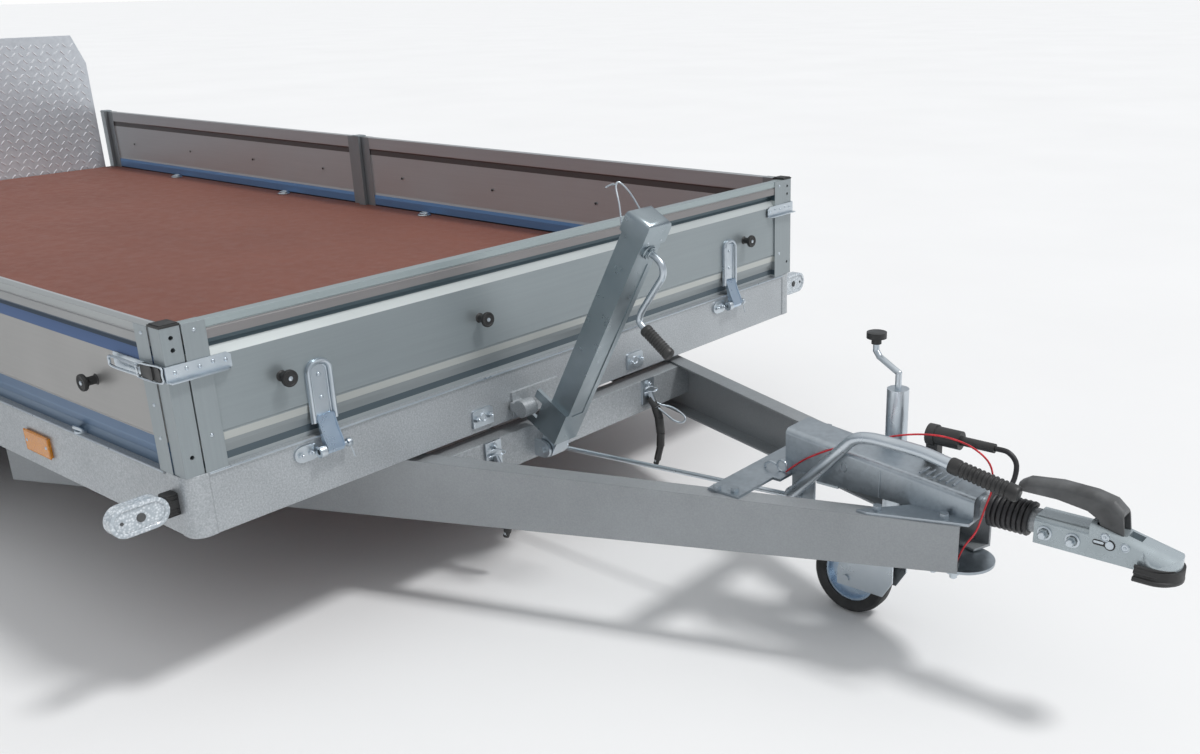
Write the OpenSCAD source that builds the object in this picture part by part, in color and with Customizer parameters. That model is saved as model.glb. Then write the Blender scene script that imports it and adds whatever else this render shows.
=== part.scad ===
// Tilt-bed utility trailer: aluminium walls, plywood deck, rear ramp, crank jack and overrun coupling.
// Millimetres. +X forward, +Y left, +Z up. The origin is on the ground, below the middle of the length.
// Inside at_bed() x counts from the bed's front face and z from the top of the bed frame.

/* [Bed] */
// Length of the bed frame
bed_len = 4320; // [3200:10:5600]
// Width of the bed frame
bed_w = 2080; // [1600:10:2400]
// Height of the frame's top above the ground
frame_top = 515; // [505:1:560]
// Height of the frame rails
rail_h = 131; // [110:1:140]
// Sheet thickness of the frame rails
rail_t = 4; // [3:0.5:6]
// Width of the rails' flanges
rail_flange = 50; // [35:1:70]
// Outer radius of the frame's front corners
rail_r = 28; // [10:1:40]
// Plywood thickness
deck_t = 18; // [12:1:27]
// Width of a cross member
cross_w = 50; // [30:1:80]
// Depth of a cross member
cross_h = 60; // [40:1:90]
// Number of bays between the cross members
cross_bays = 7; // [5:1:10]

/* [Walls] */
// Height of the walls above the frame
wall_h = 300; // [200:5:450]
// Depth of the wall profile
wall_t = 25; // [20:1:35]
// Width of the flat end caps of a wall
wall_cap = 48; // [30:1:70]
// Side of the posts
post_w = 40; // [30:1:60]
// Joint between a wall and a post
wall_gap = 2; // [1:0.5:5]
// Height of the cap on a post
post_cap_h = 6; // [3:1:12]
// Diameter of the holes in the corner posts
post_hole_d = 9; // [5:1:14]

/* [Ramp] */
// Height of the ramp's top edge above the frame
ramp_top = 683; // [500:1:900]
// Width of the ramp
ramp_w = 1952; // [1400:2:2200]
// Thickness of the ramp's tread plate
ramp_t = 5; // [3:0.5:8]
// Size of the ramp's sloped corners, across
ramp_cut_y = 54; // [20:1:150]
// Size of the ramp's sloped corners, up
ramp_cut_z = 138; // [40:1:250]
// Depth of the ramp's ribs
ramp_rib = 30; // [20:1:50]
// Number of upright ribs
ramp_ribs = 5; // [3:1:9]
// Diameter of the ramp's hinge knuckles
knuckle_d = 24; // [18:1:34]
// Length of a hinge knuckle
knuckle_len = 60; // [40:1:100]
// Diameter of the ramp's hinge pins
hinge_pin_d = 12; // [8:1:16]

/* [Drawbar] */
// Reach of the coupling in front of the bed
reach = 1575; // [1200:5:2200]
// Length of the coupling and its draw gear in front of the beams
nose_len = 415; // [360:5:520]
// Half spread of the beams at their front end
beam_y = 78; // [60:1:120]
// Angle of a beam to the middle line
beam_angle = 19.5; // [12:0.5:24]
// Level of the beams' top below the frame top
beam_top = -147; // [-170:1:-145]
// Depth of a beam at its front end
beam_h0 = 105; // [80:1:150]
// Depth of a beam at its rear end
beam_h1 = 200; // [120:1:220]
// Width of a beam's flanges
beam_flange = 48; // [35:1:70]
// Sheet thickness of the beams
beam_t = 5; // [3:0.5:8]
// Rear end of the beams, at the chassis cross beam
beam_end = -1202; // [-1500:1:-900]
// Front face of the cross beam under the bed's front rail
front_beam_x = 25; // [10:1:60]
// Depth of that cross beam from front to back
front_beam_w = 60; // [40:1:90]
// Height of that cross beam
front_beam_h = 90; // [60:1:110]

/* [Chassis] */
// Width of the chassis rails
sub_w = 60; // [40:1:80]
// Height of the chassis rails
sub_h = 90; // [70:1:110]
// Level of the chassis rails' top
sub_top = -150; // [-165:1:-148]
// Height of the chassis cross beam
mid_h = 94; // [70:1:180]
// Tilt pivot, behind the bed's front
pivot_x = -3000; // [-3600:10:-2600]
// Tilt pivot, below the frame top
pivot_z = -195; // [-215:1:-185]
// Diameter of the pivot shaft
pivot_d = 38; // [30:1:50]
// Running clearance on the pivot shaft
pivot_gap = 0.3; // [0.2:0.05:1]
// Thickness of the bed's pivot lugs
lug_t = 16; // [10:1:24]
// Distance of a pivot lug from the middle
lug_y = 780; // [500:5:840]

/* [Wheels] */
// Middle of the two axles behind the bed's front
wheels_x = -2350; // [-2600:10:-2000]
// Distance between the axles
axle_gap = 680; // [640:5:800]
// Outer diameter of a tyre
tyre_d = 525; // [480:1:560]
// Width of a tyre
tyre_w = 195; // [155:1:205]
// Diameter of the rim's bead seat
rim_d = 330; // [254:1:340]
// Gap between the bed's side and the tyre
tyre_gap = 25; // [20:1:50]
// Side of the axle tubes
axle_w = 70; // [50:1:90]
// Length of the trailing arms
arm_len = 150; // [100:1:180]
// Diameter of the stub axles
stub_d = 30; // [24:1:40]
// Height of the mudguards above the frame top
guard_top = 85; // [60:1:120]
// Sheet thickness of the mudguards
guard_t = 3; // [2:0.5:5]
// Depth of the mudguards' outer lip
guard_lip = 40; // [20:1:80]
// Side of the mudguard stays
stay_w = 28; // [20:1:30]

/* [Jack] */
// Lean of the jack to the front
jack_lean = 29.5; // [25:0.5:32]
// Width of the jack's case along the trailer
jack_w = 62; // [50:1:70]
// Width of the jack's case across the trailer
jack_b = 70; // [56:1:80]
// Length of the jack from its base pin to its cap
jack_len = 690; // [640:5:760]
// Middle of the jack beside the middle line
jack_y = -115; // [-200:1:-60]
// Base pin in front of the bed
jack_x = 55; // [50:1:80]
// Base pin below the frame top
jack_z = -215; // [-225:1:-205]
// Side of the square tube inside the case
jack_rod_w = 48; // [36:1:52]
// Trunnion pin in front of the bed
trunnion_x = 40; // [34:1:50]
// Trunnion pin below the frame top
trunnion_z = -95; // [-105:1:-85]
// Diameter of the trunnion pin
trunnion_d = 20; // [14:1:24]

/* [Coupling] */
// Radius of the ball the coupling takes
ball_r = 25; // [20:0.5:30]
// Level of the ball's centre below the frame top
ball_z = -150; // [-160:1:-140]
// Diameter of the draw tube
draw_d = 50; // [40:1:60]
// Level of the draw tube
draw_z = -127; // [-135:1:-120]
// Diameter of the jockey wheel's outer tube
jockey_d = 48; // [40:1:60]
// Distance of the jockey wheel's tube behind the beams' front end
jockey_back = 238; // [180:1:300]
// Jockey tube beside the middle line
jockey_y = 84; // [78:1:90]
// Diameter of the jockey wheel
jockey_wheel_d = 190; // [170:1:200]
// Width of the jockey wheel
jockey_wheel_w = 50; // [40:1:70]
// Trail of the jockey wheel behind its tube
jockey_trail = 95; // [60:1:100]

/* [Hidden] */
$fn = 48;

// Where everything stands
rear_reach = ramp_t * 2 + ramp_rib;
bed_x = (bed_len + rear_reach - reach) / 2;
half_w = bed_w / 2;
ground = -frame_top;
rail_bottom = -rail_h;
tyre_r = tyre_d / 2;
tyre_y = half_w + tyre_gap + tyre_w / 2;
wheel_z = ground + tyre_r;
axle_xs = [wheels_x + axle_gap / 2, wheels_x - axle_gap / 2];
front = 0;
rear = 1;

// Walls: profile columns are the share of the depth and the share of the height
wall_in = half_w - wall_t;
wall_profile_shares = [[0, 0], [0.5, 0], [0.5, 0.08], [0.72, 0.14], [0.84, 0.235], [0.92, 0.245],
    [0.92, 0.745], [0.36, 0.83], [0.36, 0.868], [1, 0.868], [1, 0.93], [0.93, 0.935], [0.93, 0.945],
    [1, 0.95], [1, 1], [0, 1], [0, 0.85], [0.15, 0.83], [0.15, 0.24], [0, 0.17]];
wall_cap_proud = 1.5;
wall_set_share = 0.08;
wall_face = half_w - wall_t * wall_set_share;
wall_foot_share = 0.5;
rail_lip = 3;
rail_lip_h = 7;
wrap_t = 2;
wrap_w = 46;
side_mid = -bed_len / 2;
side_halves = [[-post_w, side_mid + post_w / 2], [side_mid - post_w / 2, post_w - bed_len]];

// Posts: column is x of the post's front face
post_xs = [0, side_mid + post_w / 2, post_w - bed_len];
corner_hole_shares = [0.13, 0.85, 0.93];

// Drawbar
beam_slope = tan(beam_angle);
beam_x = reach - nose_len;
beam_run = (beam_x - beam_end) / cos(beam_angle) + beam_flange;
beam_drop = (beam_h1 - beam_h0) / beam_run;
beam_w = beam_t / cos(beam_angle);
function beam_out(x) = beam_y + (beam_x - x) * beam_slope;
function beam_in(x) = beam_out(x) - beam_w;
function beam_edge(x) = beam_out(x) - beam_flange / cos(beam_angle);
beam_seat = 1;
front_beam_top = beam_top - beam_t - beam_seat;
front_beam_back = front_beam_x - front_beam_w;

// Chassis
mid_x = beam_end - sub_w;
sub_out = beam_out(beam_end);
sub_in = sub_out - sub_w;
sub_bottom = sub_top - sub_h;
sub_tail = pivot_d;
axle_z = sub_bottom - axle_w / 2;
axle_reach = half_w - axle_w;
arm_t = 34;
arm_y = axle_reach + arm_t;
arm_d = 76;
arm_share = 0.66;
drum_r = 112;
drum_back = 58;
plate_gap = 5;
plate_t = 5;

// Wheels: tyre and rim profile columns are radius share of the tyre and half-width share
tyre_shares = [[0.705, 0.93], [0.79, 1], [0.89, 0.97], [0.965, 0.86], [0.99, 0.72], [1, 0.4]];
tyre_inner_shares = [[0.945, 0.4], [0.93, 0.7], [0.86, 0.88], [0.79, 0.9], [0.72, 0.8]];
rim_r = rim_d / 2;
rim_half = 70;
rim_t = 5;
rim_lip = 11;
bead_w = 14;
disc_out = 30;
hub_r = 34;
bolt_pcd = 112;
bolt_d = 22;
bolts = 5;
vent_d = 26;
vent_pcd = 232;
vents = 10;

// Mudguard outline: columns are x from the middle of the axles and z
guard_reach = axle_gap / 2 + tyre_r;
guard_low = ground + tyre_r;
guard_in = half_w + tyre_gap / 2;
guard_out = tyre_y + tyre_w / 2 + plate_gap * 2;
guard_side = 70;
guard_slope = 28;
guard_points = [[guard_reach + guard_side, guard_low], [guard_reach + guard_side - guard_slope, -guard_slope],
    [guard_reach - guard_slope, guard_top], [guard_slope - guard_reach, guard_top],
    [guard_slope - guard_reach - guard_side, -guard_slope], [-guard_reach - guard_side, guard_low]];
guard_share = 1 - guard_t / (guard_reach + guard_side);

// Jack: u runs up the case, the trunnion sits off its axis
jack_case0 = 46;
jack_wall = 4;
jack_eye_d = 44;
jack_pin_d = 16;
ear_t = 8;
jack_dx = trunnion_x - jack_x;
jack_dz = trunnion_z - jack_z;
jack_off = jack_dz * sin(jack_lean) - jack_dx * cos(jack_lean);
jack_up = jack_dx * sin(jack_lean) + jack_dz * cos(jack_lean);
yoke_t = 10;
yoke_play = 30;
yoke_slot = trunnion_d + yoke_play;
yoke_h = 96;
yoke_reach = 4;
boss_d = 44;
boss_len = 40;
plate_w = 158;
plate_h = 68;
cap_h = 26;
cap_lip = 3;
cap_step = 7;
case_groove = 2;
case_groove_share = 0.56;
case_groove_end = 90;
rod_gap = 1;
ear_gap = 2;
boss_gap = 4;
boss_y0 = jack_y - jack_b / 2 - yoke_t - boss_len - boss_gap;
crank_boss_d = 34;
crank_boss_h = 10;
jack_crank_d = 16;
crank_z = jack_len - cap_h * 2;
crank_drop = 166;
crank_arm = 70;
crank_bend = 22;
crank_lean = 16;
grip_z = crank_z - crank_drop;
grip_arm = 104;
grip_bend = 20;
grip_len = 90;
grip_slope_share = 0.1;
jack_crank_points = [[jack_w / 2 + crank_boss_h, 0, crank_z], [crank_arm, 0, crank_z],
    [crank_arm + crank_bend, 0, crank_z - crank_bend],
    [crank_arm + crank_bend - crank_lean, 0, grip_z + crank_bend],
    [grip_arm - grip_bend, 0, grip_z + grip_bend * grip_slope_share], [grip_arm, 0, grip_z]];
jack_grip_d = 30;
jack_grip_points = [[grip_arm, 0, grip_z], [grip_arm + grip_len, 0, grip_z - grip_len * grip_slope_share]];

// Coupling, set out back from the ball
bumper_r = 45;
ball_x = reach - bumper_r;
head_len = 236;
head_x0 = ball_x - head_len;
head_bolt_in = 22;
head_bolt_gap = 56;
head_bolt_xs = [head_x0 + head_bolt_in, head_x0 + head_bolt_in + head_bolt_gap];
head_bolt_z = -134;
head_low = -160;
head_top = -104;
head_w = 64;
head_r = 12;
dome_back = 128;
dome_x = ball_x - dome_back;
dome_top = -88;
dome_tilt = 13;
dome_r = 27;
clamp_len = head_len - dome_back + head_r;
slot_back = 118;
slot_front = 60;
slot_gap = 2;
eye_w = 24;
eye_front = 34;
eye_low = -130;
nose_r = 40;
bumper_low = 15;
bumper_h = 27;
bumper_back = 34;
bumper_hole_share = 1.3;
socket_lead = 2;
nut_d = 20;
// Release handle: columns are the shares of its length and height, from its foot on the head
handle_front = 66;
handle_len = 215;
handle_h = 73;
handle_w = 42;
handle_r = 14;
handle_wall = 5;
handle_pocket = 24;
handle_pocket_share = 0.5;
handle_top_shares = [[1, 0.74], [0.92, 0.89], [0.62, 1], [0.3, 0.97], [0.12, 0.86], [0.03, 0.63]];
handle_low_shares = [[0.03, 1.2], [0.03, 0.63], [0, 0], [0.2, 0], [0.23, 0.27], [0.34, 0.45], [0.62, 0.56],
    [0.99, 0.55], [1, 0.74], [1, 1.2]];
function in_handle(p) = [ball_x - handle_front - p[0] * handle_len, head_top + p[1] * handle_h];

// Overrun housing, set out from the beams' front end
plate_th = 6;
bend_share = 1.04;
housing_lead = 15;
housing_len = 453;
housing_step = 20;
housing_x2 = beam_x + housing_lead;
housing_x0 = housing_x2 - housing_len;
housing_x1 = housing_x0 + housing_step;
housing_w = 100;
housing_r = 12;
housing_top = -42;
housing_tilt = 6.5;
housing_base = beam_top;
housing_bore_share = 0.8;
cross_plate = 82;
cross_plate_x = housing_x0 - cross_plate;
cross_bolt_ins = [60, 22];
foot_lap = 10;
foot_edge = 4;
foot_len = 195;
foot_tail = 23;
foot_root = 130;
foot_x = housing_x2 - foot_len;
foot_points = [[housing_x2, housing_w / 2 - foot_lap], [housing_x2, beam_out(housing_x2) - foot_edge],
    [foot_x, beam_out(foot_x) - foot_edge], [foot_x - foot_tail, beam_out(foot_x) - foot_edge],
    [housing_x2 - foot_root, housing_w / 2 - foot_lap]];
foot_bolt_ins = [55, 183];
foot_bolt_edge = 24;
cheek_len = 58;
cheek_x = housing_x1 + cheek_len;
cheek_low = -202;
low_plate_back = 90;
low_plate_x = beam_x - low_plate_back;
low_plate_r = 66;
// Handbrake lever: columns are the shares of its run and height, from its pivot on the cheek
lever_boss_d = 36;
lever_d = 25;
lever_grip_d = 34;
lever_grip_len = 150;
lever_y = -72;
lever_in = 10;
lever_run = 376;
lever_low = -186;
lever_h = 179;
lever_shares = [[0, 0], [0.351, 0.804], [0.42, 0.939], [0.511, 1], [0.846, 0.978], [1, 0.916]];
lever_points = [for (p = lever_shares)
    [housing_x1 + lever_in + p[0] * lever_run, lever_y, lever_low + p[1] * lever_h]];
lever_end = lever_points[len(lever_points) - 1];
grip_points = [lever_end, lever_end + tangent(lever_points, len(lever_points) - 1) * lever_grip_len];

// Jockey wheel
jockey_x = beam_x - jockey_back;
jockey_top = 53;
clamp_t = 6;
clamp_h = 46;
clamp_w = 28;
jockey_bottom = -290;
jockey_inner_d = 40;
jockey_axle_z = ground + jockey_wheel_d / 2;
jockey_axle_x = jockey_x - jockey_trail;
jockey_rim_d = 130;
fork_t = 5;
fork_gap = 5;
fork_room = 12;
fork_top = ground + jockey_wheel_d + fork_room;
fork_front = jockey_x + jockey_d / 2;
fork_back = jockey_axle_x - jockey_d / 2;
fork_lobe = 20;
fork_points = [[fork_front, fork_top], [fork_front, jockey_axle_z + fork_lobe],
    [jockey_x, jockey_axle_z - fork_lobe],
    [fork_back, jockey_axle_z - fork_lobe], [fork_back, jockey_axle_z + fork_lobe],
    [jockey_axle_x, fork_top]];
stem_gap = 0.3;
jockey_pin_d = 16;
crank_d = 14;
// Its crank: columns are the shares of its throw and rise
crank_back = 64;
crank_side = 12;
crank_rise = 87;
crank_shares = [[0, 0], [0, 0.4], [0.84, 0.68], [1, 0.82], [1, 1]];
crank_points = [for (p = crank_shares)
    [jockey_x - p[0] * crank_back, jockey_y + p[0] * crank_side, jockey_top + p[1] * crank_rise]];
rim_web_share = 0.7;
tread_shares = [[0.9, 1], [0.97, 0.8], [1, 0.4]];
bead_share = 0.8;
knob_d = 44;
knob_h = 26;

// Cords, in bed coordinates
lead_d = 11;
lead_points = [[1162.2, 62, -24], [1190, 63, -26], [1210, 60, -44], [1214, 48, -72], [1210, 27.2, -95.6]];
plug_back = 163;
plug_x0 = housing_x2 - plug_back;
plug_len = 150;
plug_rim = 19;
plug_y = 62;
plug_z = -24;
plug_d = 40;
plug_rim_share = 1.15;
coil_gap = 9;
coil_x0 = housing_x2 + coil_gap;
coil_turns = floor((head_x0 - coil_gap - coil_x0) / lead_d);
coil_pitch_share = 0.5;
holder_w = 26;
holder_low = -112;
cable_d = 4;
cable_points = [[731, -62, -138.8], [780, -58, -98], [850, -56, -58], [925, -56, -26], [992, -54, 2],
    [1052, -50, 18], [1106, -46, 22], [1158, -42, 12], [1196, -38, -16], [1206, -40, -60],
    [1196, -46, -110], [1184, -52, -160], [1162, -56, -200], [1146, -60, -245.4]];
beam_cable_d = 9;
beam_cable_z = -170;
beam_cable_x0 = 400;
beam_cable_gap = 24;
beam_cable_len = (beam_x - front_beam_x) / cos(beam_angle) - beam_cable_x0 - beam_cable_gap;
rod_d = 12;
rod_y = -46;
rod_front_z = -200;
rod_edge_z = front_beam_top - front_beam_h - rod_d / 2 * bend_share - pivot_gap;
rod_slope = (rod_front_z - rod_edge_z) / (housing_x1 - front_beam_x);
rod_sleeve_back = 90;
rod_sleeve_x = front_beam_back - rod_sleeve_back;
rod_sleeve_d = 22;
rod_sleeve = 50;
rod_back_z = rod_edge_z - rod_slope * (front_beam_x - rod_sleeve_x);
rod_points = [[axle_xs[front] + arm_len + axle_w / 2 + pivot_gap, rod_y, rod_back_z],
    [rod_sleeve_x, rod_y, rod_back_z], [housing_x1 - pivot_gap, rod_y, rod_front_z]];

// Fittings: columns are the share of the half width and z on the front wall, or the share of the length
// and z on a side
knob_shares = [-0.774, -0.261, 0.261, 0.761];
knob_z = 147;
side_knob_shares = [0.069, 0.301, 0.671, 0.903];
strap_shares = [-0.694, 0.685];
strap_h = 205;
strap_w = 42;
strap_foot = 12;
strap_t = 9;
strap_skin = 3;
strap_rim = 6;
strap_pin_x = 22;
strap_pin_z = -30;
strap_pin_d = 10;
strap_barrel_d = 20;
strap_eye_d = 26;
strap_eye_t = 10;
strap_gap = 4;
strap_base = 60;
strap_base_h = 36;
strap_head = 14;
tongue_share = 0.84;
latch_z = 212;
latch_len = 130;
latch_h = 32;
latch_t = 3;
latch_lip = 16;
latch_back = 190;
latch_bar = 6;
latch_out = 14;
latch_lever = 62;
latch_rim = 5;
ring_shares = [0.101, 0.299, 0.741, 0.938];
tab_shares = [0.185, 0.402, 0.627, 0.839];
ring_d = 52;
ring_share = 0.7;
ring_t = 5;
tab_gap = 2;
keeper_shares = [-0.281, 0.258];
keeper_w = 64;
keeper_h = 44;
keeper_hole = 16;
keeper_bolt = 14;
keeper_bolt_y = 21;
lock_shares = [-0.279, 0.279];
lock_w = 50;
lock_h = 70;
lock_d = 15;
lock_step = 4;
lock_top = -190;
lock_len = 205;
lock_bow = 33;
// Lock lever: columns are the shares of its bow to the front and to the side, and of its length
lock_bow_shares = [[0, 0, 0], [0.76, 0.15, 0.29], [1, 0.12, 0.63], [0.52, 0, 1]];
lock_points = [for (p = lock_bow_shares)
    [front_beam_x + plate_th + lock_step + p[0] * lock_bow, p[1] * lock_bow, lock_top - p[2] * lock_len]];
post_cap_lip = 1;
cover_d = 40;
cover_h = 34;
cover_t = 12;
lamp_x = -40;
lamp_out = 82;
lamp_y = half_w + lamp_out;
lamp_z = -60;
lamp_w = 118;
lamp_h = 62;
lamp_t = 26;
arm_h = 50;
reflector_x = -640;
reflector_z = -70;
reflector_w = 112;
reflector_h = 46;
reflector_t = 8;
tail_in = 70;
tail_x = tail_in - bed_len;
tail_w = 130;
tail_h = 92;
tail_t = 40;
tail_z = -70;

// Ramp
hinge_x = -bed_len - knuckle_d / 2 - ramp_t;
hinge_z = -knuckle_d / 2;
ramp_x = hinge_x + knuckle_d / 2;
ramp_low = 6;
ramp_pad = 44;
rib_w = 40;
knuckles = 4;
knuckle_half = knuckle_len / 2;
lug_share = 0.8;
rear_gap = 6;
function knuckle_y(i) = (2 * i / (knuckles - 1) - 1) * (ramp_w / 2 - knuckle_len * 2);

// A box between two corners
module slab(p, q) {
    translate(p) cube(q - p);
}

// The same on both sides of the middle line
module both() {
    children();
    mirror([0, 1, 0]) children();
}

// Bed coordinates
module at_bed() {
    translate([bed_x, 0, frame_top]) children();
}

// An outline in x and z, made solid between two values of y
module side_solid(points, y0, y1) {
    translate([0, y1, 0]) rotate([90, 0, 0]) linear_extrude(y1 - y0) polygon(points);
}

// A round bar between two points
module bar(p, q, d) {
    v = q - p;
    len = norm(v);
    translate(p) rotate([0, acos(v[2] / len), atan2(v[1], v[0])]) cylinder(d = d, h = len);
}

// A bent round bar
module bent_bar(points, d) {
    for (i = [1 : len(points) - 1]) bar(points[i - 1], points[i], d);
    for (i = [1 : len(points) - 2]) translate(points[i]) sphere(d = d * bend_share);
}

// A solid turned about an axle across the trailer
module turned(points) {
    rotate([-90, 0, 0]) rotate_extrude() polygon(points);
}

// A list of profile points backwards, or backwards on the other side of the middle
function turned_round(p) = [for (i = [len(p) - 1 : -1 : 0]) p[i]];
function flipped(p) = [for (q = turned_round(p)) [q[0], -q[1]]];

// A cylinder across the trailer between two values of y
module pin(x, z, d, y0, y1) {
    translate([x, y0, z]) rotate([-90, 0, 0]) cylinder(d = d, h = y1 - y0);
}

// A bar along x with rounded top edges, hanging down from z = 0
module round_top(len, w, h, r) {
    rotate([90, 0, 90]) linear_extrude(len) {
        translate([-w / 2, -h]) square([w, h - r]);
        translate([r - w / 2, -r]) square([w - r * 2, r]);
        for (s = [-1, 1]) translate([s * (w / 2 - r), -r]) circle(r = r);
    }
}

// A hexagon head or nut standing on z = 0
module nut(d) {
    cylinder(d = d, h = d / 2, $fn = 6);
}

// Rings of a swept cord: a side vector, then points round the path
function unit(v) = v / norm(v);
function tangent(p, i) = unit(p[min(i + 1, len(p) - 1)] - p[max(i - 1, 0)]);
function spline(a, b, c, d, t) = ((b * 2) + (c - a) * t + (a * 2 - b * 5 + c * 4 - d) * t * t
    + (b * 3 - a - c * 3 + d) * t * t * t) / 2;
function path(p, steps) = concat([for (i = [0 : len(p) - 2], k = [0 : steps - 1])
    spline(p[max(i - 1, 0)], p[i], p[i + 1], p[min(i + 2, len(p) - 1)], k / steps)], [p[len(p) - 1]]);
cord_up = [0.12, 0.98, 0.15];
module cord(points, d, sides, steps) {
    p = path(points, steps);
    n = len(p);
    rings = [for (i = [0 : n - 1]) let (t = tangent(p, i), a = unit(cross(t, cord_up)), b = cross(t, a))
        for (k = [0 : sides - 1]) p[i] + (a * cos(360 * k / sides) + b * sin(360 * k / sides)) * d / 2];
    skin = [for (i = [0 : n - 2], k = [0 : sides - 1]) [i * sides + k, i * sides + (k + 1) % sides,
        (i + 1) * sides + (k + 1) % sides, (i + 1) * sides + k]];
    ends = [[for (k = [sides - 1 : -1 : 0]) k], [for (k = [0 : sides - 1]) (n - 1) * sides + k]];
    polyhedron(rings, concat(skin, ends));
}

// Drawbar beam on the left, a channel open to the middle with a sloping lower flange
module drawbar_half() {
    low0 = beam_top - beam_h0;
    low1 = beam_top - beam_h1;
    difference() {
        translate([beam_x, beam_y, 0]) rotate([0, 0, 180 - beam_angle]) {
            side_solid([[0, beam_top], [beam_run, beam_top], [beam_run, low1], [0, low0]], 0, beam_t);
            slab([0, beam_t, beam_top - beam_t], [beam_run, beam_flange, beam_top]);
            side_solid([[0, low0], [beam_run, low1], [beam_run, low1 + beam_t], [0, low0 + beam_t]],
                beam_t, beam_flange);
        }
        slab([beam_end - beam_flange * 2, 0, low1 - beam_t], [beam_end, half_w, beam_top + beam_t]);
    }
}

module drawbar_left() color("#b7bcc0") at_bed() drawbar_half();

module drawbar_right() color("#b7bcc0") at_bed() mirror([0, 1, 0]) drawbar_half();

// Cross beam under the bed's front rail, cut to the beams' slope at both ends
module front_beam() color("#aeb4b8") at_bed() {
    translate([0, 0, front_beam_top - front_beam_h]) linear_extrude(front_beam_h)
        polygon([[front_beam_x, -beam_in(front_beam_x)], [front_beam_x, beam_in(front_beam_x)],
            [front_beam_back, beam_in(front_beam_back)], [front_beam_back, -beam_in(front_beam_back)]]);
}

module mid_beam() color("#aeb4b8") at_bed()
    slab([mid_x, -sub_out, sub_top - mid_h], [beam_end, sub_out, sub_top]);

module chassis_rail() slab([pivot_x - sub_tail, sub_in, sub_bottom], [mid_x, sub_out, sub_top]);

module chassis_rail_left() color("#aeb4b8") at_bed() chassis_rail();

module chassis_rail_right() color("#aeb4b8") at_bed() mirror([0, 1, 0]) chassis_rail();

module pivot_shaft() color("#8f969b") at_bed() pin(pivot_x, pivot_z, pivot_d, -sub_in, sub_in);

// Axle tube with trailing arms, brake plates and stub axles
module axle(x) {
    tube_x = x + arm_len;
    slab([tube_x - axle_w / 2, -axle_reach, axle_z - axle_w / 2],
        [tube_x + axle_w / 2, axle_reach, axle_z + axle_w / 2]);
    both() {
        pin(tube_x, axle_z, arm_d, axle_reach, arm_y);
        pin(x, wheel_z, arm_d, axle_reach, arm_y);
        translate([tube_x, 0, axle_z]) rotate([0, -atan2(wheel_z - axle_z, -arm_len), 0])
            slab([0, axle_reach, -arm_d * arm_share / 2],
                [norm([arm_len, wheel_z - axle_z]), arm_y, arm_d * arm_share / 2]);
        pin(x, wheel_z, stub_d * 2, arm_y, tyre_y - drum_back - plate_gap - plate_t);
        pin(x, wheel_z, drum_r * 2, tyre_y - drum_back - plate_gap - plate_t, tyre_y - drum_back - plate_gap);
        pin(x, wheel_z, stub_d, tyre_y - drum_back - plate_gap, tyre_y);
    }
}

module axle_front() color("#9aa1a6") at_bed() axle(axle_xs[front]);

module axle_rear() color("#9aa1a6") at_bed() axle(axle_xs[rear]);

// Tandem mudguard on the left: bent sheet with an outer lip, on stays from the chassis rail
module mudguard_half() {
    inner = [for (p = guard_points) [p[0] * guard_share, p[1] == guard_low ? guard_low : p[1] - guard_t]];
    lip = [for (p = guard_points) [p[0] * (1 - guard_lip / guard_reach),
        p[1] == guard_low ? guard_low : p[1] - guard_lip]];
    back = [for (i = [len(inner) - 1 : -1 : 0]) inner[i]];
    lip_back = [for (i = [len(lip) - 1 : -1 : 0]) lip[i]];
    translate([wheels_x, 0, 0]) {
        side_solid(concat(guard_points, back), guard_in, guard_out);
        side_solid(concat(inner, lip_back), guard_out - guard_t, guard_out);
    }
    edge = (guard_reach + guard_side) * guard_share;
    for (s = [-1, 1]) translate([wheels_x + s * (edge - stay_w / 2) - stay_w / 2, 0, 0])
        slab([0, sub_out, guard_low], [stay_w, guard_out - guard_t, guard_low + stay_w]);
}

module mudguard_left() color("#a9b0b5") at_bed() mudguard_half();

module mudguard_right() color("#a9b0b5") at_bed() mirror([0, 1, 0]) mudguard_half();

// Overrun housing: a channel with a sloping round-edged top, on its mounting plates
module overrun_housing() color("#a8b4bd") at_bed() {
    difference() {
        intersection() {
            translate([housing_x0, 0, housing_top]) rotate([0, housing_tilt, 0])
                round_top(housing_x2 - housing_x0 + housing_w, housing_w, housing_w * 2, housing_r);
            slab([housing_x0, -housing_w, housing_base], [housing_x2, housing_w, 0]);
        }
        translate([housing_x0, 0, draw_z]) rotate([0, 90, 0])
            cylinder(d = draw_d * housing_bore_share, h = housing_w);
    }
    slab([cross_plate_x, -beam_in(housing_x0), housing_base],
        [housing_x0, beam_in(housing_x0), housing_base + plate_th]);
    slab([housing_x0, -housing_w, housing_base], [housing_x1, housing_w, housing_base + plate_th]);
    both() {
        translate([0, 0, housing_base]) linear_extrude(plate_th) polygon(foot_points);
        slab([housing_x1, (housing_w - plate_th) / 2, cheek_low],
            [cheek_x, (housing_w + plate_th) / 2, housing_base + plate_th * 2]);
        for (d = foot_bolt_ins) let (x = housing_x2 - d)
            translate([x, beam_out(x) - foot_bolt_edge, housing_base + plate_th]) nut(nut_d);
        for (d = cross_bolt_ins) let (x = housing_x0 - d)
            translate([x, beam_edge(x) + nut_d, housing_base + plate_th]) nut(nut_d);
    }
    low = beam_top - beam_h0 - beam_drop * (beam_x - low_plate_x) / cos(beam_angle);
    translate([0, 0, low - plate_th]) linear_extrude(plate_th) {
        translate([low_plate_x, -low_plate_r]) square([low_plate_r, low_plate_r * 2]);
        translate([low_plate_x + low_plate_r, 0]) circle(r = low_plate_r);
    }
}

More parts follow.
